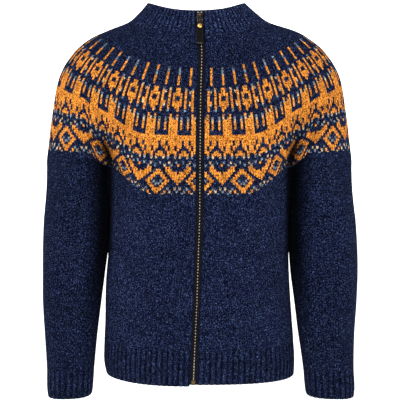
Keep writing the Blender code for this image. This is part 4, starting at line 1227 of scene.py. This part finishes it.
class CardiganYarn(bpy.types.PropertyGroup):
    """Colours of the yarns."""
    navy: yarn_colour("Navy", "Main yarn", (0.0096, 0.0138, 0.0510))
    navy_deep: yarn_colour("Deep navy", "Darker fibres of the main yarn", (0.0016, 0.0026, 0.0115))
    navy_light: yarn_colour("Light navy", "Lighter fibres of the main yarn", (0.072, 0.112, 0.225))
    orange: yarn_colour("Orange", "Pattern yarn", (0.93, 0.345, 0.045))
    orange_deep: yarn_colour("Deep orange", "Darker fibres of the pattern yarn", (0.42, 0.115, 0.020))
    cream: yarn_colour("Cream", "Lightest pattern yarn", (0.76, 0.57, 0.34))
    cream_deep: yarn_colour("Deep cream", "Darker fibres of the lightest yarn", (0.36, 0.25, 0.15))
    pale_blue: yarn_colour("Pale blue", "Cool light pattern yarn", (0.20, 0.25, 0.31))


def length(name, description, default, least, most):
    return FloatProperty(name=name, description=description, default=default, min=least, max=most,
                         unit="LENGTH")


def number_of(name, description, default, least, most):
    return IntProperty(name=name, description=description, default=default, min=least, max=most)


def power(name, description, default):
    return FloatProperty(name=name, description=description, default=default, min=0.0, max=1000.0,
                         unit="POWER")


class CardiganKnit(bpy.types.PropertyGroup):
    """Sizes of the knitting."""
    wall: length("Cloth thickness", "Thickness of the knitted wall", 0.0034, 0.001, 0.008)
    stitch_relief: length("Stitch relief", "Height of a stitch over its groove", 0.0007, 0.0, 0.002)
    rib_relief: length("Rib relief", "Height of a rib over its valley", 0.0016, 0.0, 0.004)
    fold_strength: FloatProperty(name="Folds", description="Strength of the soft folds", default=1.0,
                                 min=0.0, max=2.0)
    collar_ribs: number_of("Collar ribs", "Ribs around the collar", 76, 20, 160)
    hem_ribs: number_of("Hem ribs", "Ribs around the hem", 92, 30, 200)
    cuff_ribs: number_of("Cuff ribs", "Ribs around a cuff", 26, 10, 80)


class CardiganZip(bpy.types.PropertyGroup):
    """Sizes of the zip."""
    coil_pitch: length("Coil pitch", "Run of one loop of the coil", 0.0026, 0.0008, 0.004)
    coil_wire: length("Coil wire", "Radius of the coil's wire", 0.00055, 0.0002, 0.001)


class CardiganStage(bpy.types.PropertyGroup):
    """Floor, lights and camera."""
    floor_height: length("Floor height", "Height of the floor under the neck", -0.86, -3.0, -0.71)
    key_power: power("Key light", "Power of the main light", 52.0)
    fill_power: power("Front light", "Power of the second front light and, in part, of the back light",
                      26.0)
    side_power: power("Side lights", "Power of each side light", 26.0)
    sky: FloatProperty(name="Sky", description="Strength of the even white light", default=0.22,
                       min=0.0, max=5.0)
    lens: FloatProperty(name="Lens", description="Focal length of the camera, millimetres",
                        default=109.4, min=20.0, max=300.0)


# Painted light of the sleeves' wool and of the collar's, as a share of the body's: painted shade darkens
# the sleeves and painted light brightens the collar
SLEEVE_PAINTED_SHADE = 0.82
COLLAR_PAINTED_LIGHT = 1.45

# The pattern ends higher on the sleeves than at the zip: how much at their corners and at their
# middle, in levels, the share of the way round in which that starts, and the length of cloth that
# one level covers on the yoke and on the sleeve
CORNER_LIFT = 0.047
SIDE_LIFT = 0.030
LIFT_EASE = 0.07
YOKE_RUN = 0.30
SLEEVE_RUN = 0.40


def finish_of(name, maker, *values, **options):
    """A material by its name, made the first time that it is asked for."""
    return bpy.data.materials.get(name) or maker(name, *values, **options)


def yoke_lift(station):
    """How far the yoke's pattern ends above the sleeve's seam, in levels."""
    share = (station.value - UNDERARM_ANGLE) / (HALF_TURN - 2 * UNDERARM_ANGLE)
    if station.part == "underarm" or not 0.0 < share < 1.0:
        return 0.0
    near = smooth(0.0, LIFT_EASE, share) * smooth(0.0, LIFT_EASE, 1.0 - share)
    return near * blend(CORNER_LIFT, SIDE_LIFT, math.sin(math.pi * share) ** 2)


def lifted_yoke_point(station, level):
    return yoke_point(station, NECK_LEVEL + (level - NECK_LEVEL) * (1.0 - yoke_lift(station)))


def lifted_sleeve_point(station, level):
    above = yoke_lift(station) * YOKE_RUN
    run = blend(-above, SLEEVE_RUN, level - YOKE_LEVEL)
    return sleeve_point(station, YOKE_LEVEL + (run / YOKE_RUN if run < 0.0 else run / SLEEVE_RUN))


def full_ring_anchors(stations):
    return ((0, 0.0), (len(stations) // 2, 0.5), (len(stations) - 1, 1.0))


class CARDIGAN_OT_knit_yoke(bpy.types.Operator):
    """Knits the yoke with its bands of pattern"""
    bl_idname = "cardigan.knit_yoke"
    bl_label = "Knit the yoke"

    def execute(self, context):
        sizes = context.scene.cardigan_knit
        stations = yoke_stations()
        net = Net(lifted_yoke_point, stations, NECK_LEVEL, YOKE_LEVEL, full_ring_anchors(stations))
        zones = (Zone(6, 180, None, 0), Zone(6, 216, None, 0), Zone(7, 250, STICKS, 0),
                 Zone(9, 282, LOZENGE_BAND, 19), Zone(17, 320, CROWN_BAND, 2),
                 Zone(13, 338, DIAMOND_BAND, 10))
        yoke = knit("yoke_knit", net, zones, finish_of("pattern_wool_stitches", wool), 11,
                    relief=sizes.stitch_relief, top="roll", bottom="flat", wall=sizes.wall,
                    inner_columns=180, inner_rows=21, part="yoke")
        dress(yoke, BODY, "pattern_wool", "yoke")
        return {"FINISHED"}


class CARDIGAN_OT_knit_body(bpy.types.Operator):
    """Knits the body tube, open at the zip"""
    bl_idname = "cardigan.knit_body"
    bl_label = "Knit the body"

    def execute(self, context):
        sizes = context.scene.cardigan_knit
        stations = body_stations()
        net = Net(body_point, stations, YOKE_LEVEL, RIB_LEVEL, full_ring_anchors(stations))
        body = knit("body_knit", net, (Zone(66, 220, None, 0),),
                    finish_of("navy_wool_stitches", wool), 12, relief=sizes.stitch_relief, top="tuck",
                    bottom="flat", wall=sizes.wall, inner_columns=120, inner_rows=22, part="body")
        dress(body, BODY, "navy_wool", "front_right", "front_left", "back")
        return {"FINISHED"}


class CARDIGAN_OT_knit_sleeves(bpy.types.Operator):
    """Knits both sleeves"""
    bl_idname = "cardigan.knit_sleeves"
    bl_label = "Knit the sleeves"

    def execute(self, context):
        sizes = context.scene.cardigan_knit
        for side, area, seed in ((RIGHT, 0.1452, 13), (LEFT, 0.1484, 14)):
            stations = sleeve_stations(side)
            centre = (sleeve_columns(side, CUFF_SEAM_Z)[0], 0.0)
            net = Net(lifted_sleeve_point, stations, YOKE_LEVEL, RIB_LEVEL,
                      ((0, 0.0), (len(stations) - 1, 1.0)), centre)
            zones = (Zone(26, 92, None, 0), Zone(28, 82, None, 0), Zone(28, 72, None, 0))
            # Painted shade darkens the sleeves' wool
            sleeve = knit("sleeve_knit_" + SIDE_WORDS[side], net, zones,
                          finish_of("navy_wool_stitches", wool), seed, relief=sizes.stitch_relief,
                          closed=True, top="tuck", bottom="flat", wall=sizes.wall, inner_columns=64,
                          inner_rows=28, part="sleeve", painted_lighting=SLEEVE_PAINTED_SHADE)
            dress(sleeve, BODY, "navy_wool", "sleeve_" + SIDE_WORDS[side])
        return {"FINISHED"}


class CARDIGAN_OT_knit_ribs(bpy.types.Operator):
    """Knits the ribbed collar, cuffs and hem"""
    bl_idname = "cardigan.knit_ribs"
    bl_label = "Knit the ribs"

    def execute(self, context):
        sizes = context.scene.cardigan_knit
        rib = finish_of("navy_wool_rib", wool, rib=True)
        stations = yoke_stations()
        net = Net(yoke_point, stations, TOP_LEVEL, NECK_LEVEL, full_ring_anchors(stations))
        # Painted light brightens the collar's wool
        collar = knit("collar_rib", net, (Zone(12, sizes.collar_ribs, None, 0),), rib, 15, RIB_COLUMNS,
                      sizes.rib_relief * 0.45, top="roll", bottom="tuck", wall=sizes.wall,
                      inner_columns=120, inner_rows=4, fade="bottom", painted_lighting=COLLAR_PAINTED_LIGHT)
        dress(collar, BODY, "navy_wool", "collar")
        stations = body_stations()
        net = Net(body_point, stations, RIB_LEVEL, EDGE_LEVEL, full_ring_anchors(stations))
        hem = knit("hem_rib", net, (Zone(15, sizes.hem_ribs, None, 0),), rib, 16, RIB_COLUMNS,
                   sizes.rib_relief, top="tuck", bottom="roll", wall=sizes.wall, inner_columns=120,
                   inner_rows=4, fade="top")
        dress(hem, BODY, "navy_wool", "hem_rib_front_right", "hem_rib_front_left", "hem_rib_back")
        for side, area, seed in ((RIGHT, 0.0156, 17), (LEFT, 0.0163, 18)):
            stations = sleeve_stations(side)
            centre = (sleeve_columns(side, CUFF_SEAM_Z)[0], 0.0)
            net = Net(sleeve_point, stations, RIB_LEVEL, EDGE_LEVEL, ((0, 0.0), (len(stations) - 1, 1.0)),
                      centre)
            cuff = knit("cuff_rib_" + SIDE_WORDS[side], net, (Zone(13, sizes.cuff_ribs, None, 0),), rib,
                        seed, RIB_COLUMNS, sizes.rib_relief, closed=True, top="tuck", bottom="roll",
                        wall=sizes.wall, inner_columns=52, inner_rows=4, fade="top")
            dress(cuff, BODY, "navy_wool", "cuff_" + SIDE_WORDS[side])
        return {"FINISHED"}


# Zip: depth of the tape's face behind the cloth's, and the tape's section from the slit outwards
TAPE_FACE = 0.0039
TAPE_THICK = 0.0008
TAPE_SLIT_HALF = 0.00075
TAPE_SPREAD_HALF = 0.0028
TAPE_SPREAD_LEVEL = 0.20
CHAIN_START_LEVEL = 0.40
TAPE_HALF = 0.0140
TAPE_SECTION = ((0.0, -0.10), (0.0002, 0.12), (0.0007, 0.25), (0.0014, 0.26), (0.0019, 0.16),
                (0.0022, 0.0), (0.0032, 0.0), (0.0050, 0.0), (0.0075, 0.0), (0.0105, 0.0), (0.01325, 0.0))
COIL_FACE = 0.0043

# Samples down the zip, and run of a row of the tape
PATH_SAMPLES = 240
TAPE_ROW = 0.004

# Coil: how far it starts above the chain and ends above the edge in levels, a loop's half width and
# distance from the slit's middle, its height and depth in radii of the wire, and how deep it lies
COIL_ABOVE = 0.18
COIL_FOOT = 0.10
LOOP_HALF = 0.0018
LOOP_ASIDE = 0.0009
LOOP_HIGH = 1.5
LOOP_DEEP = 1.25
LOOP_BACK = 0.4
ACROSS = Vector((1.0, 0.0, 0.0))
SHARP_ANGLE = math.radians(42.0)


def zip_path(first, last, step):
    """Points down the middle of the zip with their outward directions, evenly apart."""
    levels = np.linspace(first, last, PATH_SAMPLES)
    line = np.array([zip_frame(float(level)) for level in levels])
    run = run_along(line)
    wanted = np.linspace(0.0, run[-1], int(run[-1] / step) + 1)
    points = np.stack([np.interp(wanted, run, line[:, axis]) for axis in range(3)], axis=1)
    down = np.gradient(points, axis=0)
    down /= np.linalg.norm(down, axis=1, keepdims=True)
    outs = np.cross(down, np.array((1.0, 0.0, 0.0)))
    outs /= np.linalg.norm(outs, axis=1, keepdims=True)
    outs *= np.where(outs[:, 1:2] > 0.0, -1.0, 1.0)
    return points, down, outs, np.interp(wanted, run, levels)


def object_of(name, shape, material):
    """An object from a bmesh, smooth but for its crisp edges."""
    mesh = bpy.data.meshes.new(name)
    shape.to_mesh(mesh)
    shape.free()
    mesh.materials.append(material)
    mesh.shade_smooth()
    mesh.set_sharp_from_angle(angle=SHARP_ANGLE)
    piece = bpy.data.objects.new(name, mesh)
    bpy.context.scene.collection.objects.link(piece)
    return piece


def add_bead(shape, matrix):
    """A small rounded bead, such as a loop of the coil or a stitch."""
    bead = bmesh.ops.create_uvsphere(shape, u_segments=8, v_segments=5, radius=1.0)
    bmesh.ops.transform(shape, matrix=matrix, verts=bead["verts"])


def bevel(shape, geom, offset, segments, affect):
    bmesh.ops.bevel(shape, geom=geom, offset=offset, offset_type="OFFSET", segments=segments, profile=0.5,
                    affect=affect, material=-1)


def raise_new(shape, raised, height):
    """Moves what an extrusion made upwards."""
    bmesh.ops.translate(shape, vec=(0.0, 0.0, height),
                        verts=[item for item in raised["geom"] if isinstance(item, bmesh.types.BMVert)])


class CARDIGAN_OT_sew_tapes(bpy.types.Operator):
    """Weaves the two tapes that carry the zip"""
    bl_idname = "cardigan.sew_tapes"
    bl_label = "Sew the zip tapes"

    def execute(self, context):
        points, _, outs, levels = zip_path(TOP_LEVEL, EDGE_LEVEL, TAPE_ROW)
        for side in (RIGHT, LEFT):
            shape = bmesh.new()
            columns = len(TAPE_SECTION)
            bmesh.ops.create_grid(shape, x_segments=columns - 1, y_segments=len(points) - 1, size=1.0)
            shape.verts.ensure_lookup_table()
            for row in range(len(points)):
                spread = 1.0 - smooth(TAPE_SPREAD_LEVEL, CHAIN_START_LEVEL, levels[row])
                slit = blend(TAPE_SLIT_HALF, TAPE_SPREAD_HALF, spread)
                for column, (away, height) in enumerate(TAPE_SECTION):
                    aside = side * min(slit + away, TAPE_HALF)
                    place = points[row] + np.array((aside, 0.0, 0.0))
                    place = place - outs[row] * (TAPE_FACE - height * 0.001)
                    shape.verts[row * columns + column].co = place
            bmesh.ops.recalc_face_normals(shape, faces=shape.faces)
            if sum(face.normal.y for face in shape.faces) > 0.0:
                bmesh.ops.reverse_faces(shape, faces=shape.faces)
            bmesh.ops.solidify(shape, geom=shape.faces, thickness=TAPE_THICK)
            word = SIDE_WORDS[side]
            tape = object_of("zip_cloth_" + word, shape, finish_of("black_tape_weave", woven_tape))
            dress(tape, BODY, "black_tape", "zip_tape_" + word)
        return {"FINISHED"}


class CARDIGAN_OT_wind_coil(bpy.types.Operator):
    """Winds the zip's coil, loop by loop from both sides"""
    bl_idname = "cardigan.wind_coil"
    bl_label = "Wind the zip coil"

    def execute(self, context):
        sizes = context.scene.cardigan_zip
        points, down, outs, levels = zip_path(CHAIN_START_LEVEL - COIL_ABOVE,
                                              EDGE_LEVEL - COIL_FOOT, sizes.coil_pitch / 2)
        shape = bmesh.new()
        for index in range(len(points)):
            side = RIGHT if index % 2 else LEFT
            spread = 1.0 - smooth(TAPE_SPREAD_LEVEL, CHAIN_START_LEVEL, levels[index])
            apart = spread * (TAPE_SPREAD_HALF - TAPE_SLIT_HALF) * side
            turn = Matrix((ACROSS, Vector(down[index]), Vector(outs[index]))).transposed().to_4x4()
            depth = COIL_FACE + sizes.coil_wire * LOOP_BACK
            centre = Vector(points[index]) - Vector(outs[index]) * depth
            centre.x += apart + side * LOOP_ASIDE
            scale = Matrix.Diagonal((LOOP_HALF, sizes.coil_wire * LOOP_HIGH, sizes.coil_wire * LOOP_DEEP,
                                     1.0))
            add_bead(shape, Matrix.Translation(centre) @ turn @ scale)
        coil = object_of("zip_coil", shape, finish_of("coil_wire_tan", coil_wire))
        dress(coil, BODY, "black_tape", "zip_chain")
        return {"FINISHED"}


class CARDIGAN_OT_finish_metal(bpy.types.Operator):
    """Finishes the slider, the link, the rivet and the box of the zip"""
    bl_idname = "cardigan.finish_metal"
    bl_label = "Finish the metal"

    def execute(self, context):
        bronze = finish_of("dark_bronze_worn", worn_metal, (0.010, 0.007, 0.006), (0.030, 0.021, 0.017),
                           (0.62, 0.50, 0.43), 0.24)
        brass = finish_of("aged_brass_worn", worn_metal, (0.42, 0.20, 0.055), (0.80, 0.46, 0.14),
                          (0.95, 0.70, 0.34), 0.26)
        dull_brass = finish_of("dull_brass_worn", worn_metal, (0.04, 0.03, 0.012), (0.12, 0.085, 0.03),
                               (0.30, 0.22, 0.08), 0.45)
        for name, material in (("zip_slider", bronze), ("pull_link", bronze), ("pull_rivet", brass),
                               ("zip_box", dull_brass)):
            finish_node(name, material)
        return {"FINISHED"}


# Leather pull, in the frame of its own swing: along x across, y down and z out
PULL_PIVOT = (-0.001008, -0.074924, 0.018205)
PULL_ACROSS = (-1.0, 0.0003, 0.00074)
PULL_DOWN = (-0.0008, -0.37956, -0.92517)
PULL_OUT = (0.0, -0.92517, 0.37956)
PULL_TOP = 0.0105
PULL_FOOT = 0.0500
PULL_TOP_HALF = 0.0062
PULL_FOOT_HALF = 0.0068
PULL_BACK = 0.0011
PULL_THICK = 0.0024
PULL_CORNER = 0.0028
PULL_EDGE = 0.0006
GROOVE_INSET = 0.0011
GROOVE_WIDE = 0.0007
GROOVE_DEEP = 0.00022
THREAD_RADIUS = 0.00024
THREAD_LONG = 0.0013
THREAD_STEP = 0.0019
PAINTED_SIDE = 0.5
PAINTED_FOOT = 0.0488
SAME_HEIGHT = 1e-6


def pull_matrix():
    """From the pull's own frame to the garment's."""
    columns = Matrix((PULL_ACROSS, PULL_DOWN, PULL_OUT)).transposed()
    return Matrix.Translation(PULL_PIVOT) @ columns.to_4x4()


def groove_stitches():
    """Places and directions of the stitches around the pull's groove."""
    inset = GROOVE_INSET + GROOVE_WIDE / 2
    top, foot = PULL_TOP + inset, PULL_FOOT - inset
    half_top, half_foot = PULL_TOP_HALF - inset, PULL_FOOT_HALF - inset
    corner = PULL_CORNER * 0.5
    path = [(-half_top + corner, top), (half_top - corner, top), (half_top, top + corner),
            (half_foot, foot - corner), (half_foot - corner, foot), (-half_foot + corner, foot),
            (-half_foot, foot - corner), (-half_top, top + corner)]
    stitches = []
    for start, end in zip(path, path[1:] + path[:1]):
        run = Vector(end) - Vector(start)
        count = max(1, round(run.length / THREAD_STEP))
        for index in range(count):
            place = Vector(start) + run * ((index + 0.5) / count)
            stitches.append((place, math.atan2(run.y, run.x)))
    return stitches


class CARDIGAN_OT_cut_pull(bpy.types.Operator):
    """Cuts the leather pull, with its painted edge and its stitching"""
    bl_idname = "cardigan.cut_pull"
    bl_label = "Cut the leather pull"

    def execute(self, context):
        shape = bmesh.new()
        corners = [(-PULL_TOP_HALF, PULL_TOP), (PULL_TOP_HALF, PULL_TOP), (PULL_FOOT_HALF, PULL_FOOT),
                   (-PULL_FOOT_HALF, PULL_FOOT)]
        shape.faces.new([shape.verts.new((x, y, PULL_BACK)) for x, y in corners])
        bevel(shape, shape.verts[:], PULL_CORNER, 6, "VERTICES")
        raise_new(shape, bmesh.ops.extrude_face_region(shape, geom=shape.faces[:]), PULL_THICK)
        rims = [edge for edge in shape.edges
                if abs(edge.verts[0].co.z - edge.verts[1].co.z) < SAME_HEIGHT]
        bevel(shape, rims, PULL_EDGE, 3, "EDGES")
        shape.faces.ensure_lookup_table()
        top = max(shape.faces, key=lambda face: face.calc_center_median().z + face.calc_area())
        third = GROOVE_WIDE / 3
        for inset, depth in ((GROOVE_INSET, 0.0), (third, -GROOVE_DEEP), (third, 0.0),
                             (third, GROOVE_DEEP)):
            bmesh.ops.inset_region(shape, faces=[top], thickness=inset, depth=depth)
        bmesh.ops.recalc_face_normals(shape, faces=shape.faces)
        for side in shape.faces:
            at_foot = side.calc_center_median().y > PAINTED_FOOT
            side.material_index = int(abs(side.normal.z) < PAINTED_SIDE or at_foot)
        bmesh.ops.transform(shape, matrix=pull_matrix(), verts=shape.verts)
        pull = object_of("pull_leather", shape, finish_of("black_leather_grain", pull_leather))
        pull.data.materials.append(finish_of("painted_edge", edge_paint))
        dress(pull, PULL_BODY, "black_leather", "pull_tab")
        shape = bmesh.new()
        height = PULL_BACK + PULL_THICK - THREAD_RADIUS * 0.5
        for place, angle in groove_stitches():
            turn = Matrix.Rotation(angle, 4, "Z")
            scale = Matrix.Diagonal((THREAD_LONG / 2, THREAD_RADIUS, THREAD_RADIUS, 1.0))
            add_bead(shape, Matrix.Translation((place.x, place.y, height)) @ turn @ scale)
        bmesh.ops.transform(shape, matrix=pull_matrix(), verts=shape.verts)
        thread = object_of("pull_stitching", shape, finish_of("black_thread", sewing_thread))
        dress(thread, PULL_BODY, "black_leather")
        return {"FINISHED"}


# Top stops of the zip: level, distance from the slit's middle, half sizes, bevel, the run in levels
# on which their lean is read, and how deep they sit, as a share of their half thickness
STOP_LEVEL = 0.045
STOP_ASIDE = 0.0030
STOP_HALF = (0.0011, 0.0015, 0.0008)
STOP_BEVEL = 0.0004
STOP_RUN = 0.02
STOP_SUNK = 0.6


class CARDIGAN_OT_clamp_stops(bpy.types.Operator):
    """Clamps the two small stops at the top of the zip"""
    bl_idname = "cardigan.clamp_stops"
    bl_label = "Clamp the top stops"

    def execute(self, context):
        place, after = Vector(zip_frame(STOP_LEVEL)), Vector(zip_frame(STOP_LEVEL + STOP_RUN))
        down = (after - place).normalized()
        out = down.cross(ACROSS).normalized()
        out = out if out.y < 0.0 else -out
        turn = Matrix((ACROSS, down, out)).transposed().to_4x4()
        scale = Matrix.Diagonal((*STOP_HALF, 1.0))
        shape = bmesh.new()
        for side in (RIGHT, LEFT):
            block = bmesh.ops.create_cube(shape, size=2.0)
            centre = place - out * (TAPE_FACE - STOP_HALF[2] * STOP_SUNK) + ACROSS * side * STOP_ASIDE
            bmesh.ops.transform(shape, verts=block["verts"],
                                matrix=Matrix.Translation(centre) @ turn @ scale)
        bevel(shape, shape.edges[:], STOP_BEVEL, 3, "EDGES")
        bmesh.ops.recalc_face_normals(shape, faces=shape.faces)
        stops = object_of("zip_top_stops", shape,
                          finish_of("nickel_worn", worn_metal, (0.16, 0.14, 0.12), (0.42, 0.39, 0.35),
                                    (0.75, 0.72, 0.68), 0.30))
        dress(stops, BODY, "dark_bronze")
        return {"FINISHED"}


def area_light(name, place, size, power):
    lamp = bpy.data.lights.new(name, "AREA")
    lamp.energy = power
    lamp.size = size
    light = bpy.data.objects.new(name, lamp)
    light.location = place
    light.rotation_euler = (Vector(LIGHT_AIM) - light.location).to_track_quat("-Z", "Y").to_euler()
    bpy.context.scene.collection.objects.link(light)


def stage_circle(height, filled):
    shape = bmesh.new()
    bmesh.ops.create_circle(shape, cap_ends=filled, radius=BACKDROP_RADIUS, segments=96,
                            matrix=Matrix.Translation((0.0, 0.0, height)))
    return shape


class CARDIGAN_OT_set_stage(bpy.types.Operator):
    """Sets the floor, the backdrop, the lights and the camera"""
    bl_idname = "cardigan.set_stage"
    bl_label = "Set the stage"

    def execute(self, context):
        sizes = context.scene.cardigan_stage
        scene = context.scene
        floor = object_of("floor", stage_circle(sizes.floor_height, True),
                          finish_of("pale_floor", pale_floor))
        shape = stage_circle(sizes.floor_height, False)
        raise_new(shape, bmesh.ops.extrude_edge_only(shape, edges=shape.edges), BACKDROP_HIGH)
        backdrop = object_of("backdrop", shape, finish_of("pale_backdrop", pale_backdrop))
        world = bpy.data.worlds.new("even_white")
        world.use_nodes = True
        background = world.node_tree.nodes["Background"]
        background.inputs["Color"].default_value = (1.0, 1.0, 1.0, 1.0)
        background.inputs["Strength"].default_value = sizes.sky
        scene.world = world
        for name, place, size, setting, share in LIGHTS:
            area_light(name, place, size, getattr(sizes, setting) * share)
        camera = bpy.data.objects.new("camera", bpy.data.cameras.new("camera"))
        camera.location = CAMERA_PLACE
        aim = Vector(CAMERA_AIM) - camera.location
        camera.rotation_euler = aim.to_track_quat("-Z", "Y").to_euler()
        camera.data.sensor_width = SENSOR_WIDTH
        camera.data.lens = sizes.lens
        camera.data.shift_x, camera.data.shift_y = CAMERA_SHIFT
        scene.collection.objects.link(camera)
        scene.camera = camera
        scene.view_settings.view_transform = "Standard"
        return {"FINISHED"}


OPERATORS = (CARDIGAN_OT_knit_yoke, CARDIGAN_OT_knit_body, CARDIGAN_OT_knit_sleeves,
             CARDIGAN_OT_knit_ribs, CARDIGAN_OT_sew_tapes, CARDIGAN_OT_wind_coil,
             CARDIGAN_OT_finish_metal, CARDIGAN_OT_clamp_stops, CARDIGAN_OT_cut_pull,
             CARDIGAN_OT_set_stage)


class CARDIGAN_PT_making(bpy.types.Panel):
    """The steps that make the cardigan"""
    bl_idname = "CARDIGAN_PT_making"
    bl_label = "Cardigan"
    bl_space_type = "VIEW_3D"
    bl_region_type = "UI"
    bl_category = "Cardigan"

    def draw(self, context):
        scene = context.scene
        for group in (scene.cardigan_yarn, scene.cardigan_knit, scene.cardigan_zip, scene.cardigan_stage):
            box = self.layout.box()
            for name in group.__annotations__:
                box.prop(group, name)
        for operator in OPERATORS:
            self.layout.operator(operator.bl_idname)


GROUPS = {"cardigan_yarn": CardiganYarn, "cardigan_knit": CardiganKnit, "cardigan_zip": CardiganZip,
          "cardigan_stage": CardiganStage}


def register():
    for group in GROUPS.values():
        bpy.utils.register_class(group)
    for name, group in GROUPS.items():
        setattr(bpy.types.Scene, name, PointerProperty(type=group))
    for operator in OPERATORS:
        bpy.utils.register_class(operator)
    bpy.utils.register_class(CARDIGAN_PT_making)


def unregister():
    bpy.utils.unregister_class(CARDIGAN_PT_making)
    for operator in reversed(OPERATORS):
        bpy.utils.unregister_class(operator)
    for name in GROUPS:
        delattr(bpy.types.Scene, name)
    for group in reversed(list(GROUPS.values())):
        bpy.utils.unregister_class(group)


def main():
    """Makes every piece in order."""
    register()
    bpy.ops.cardigan.knit_yoke()
    bpy.ops.cardigan.knit_body()
    bpy.ops.cardigan.knit_sleeves()
    bpy.ops.cardigan.knit_ribs()
    bpy.ops.cardigan.sew_tapes()
    bpy.ops.cardigan.wind_coil()
    bpy.ops.cardigan.finish_metal()
    bpy.ops.cardigan.clamp_stops()
    bpy.ops.cardigan.cut_pull()
    bpy.ops.cardigan.set_stage()


if __name__ == "__main__":
    main()
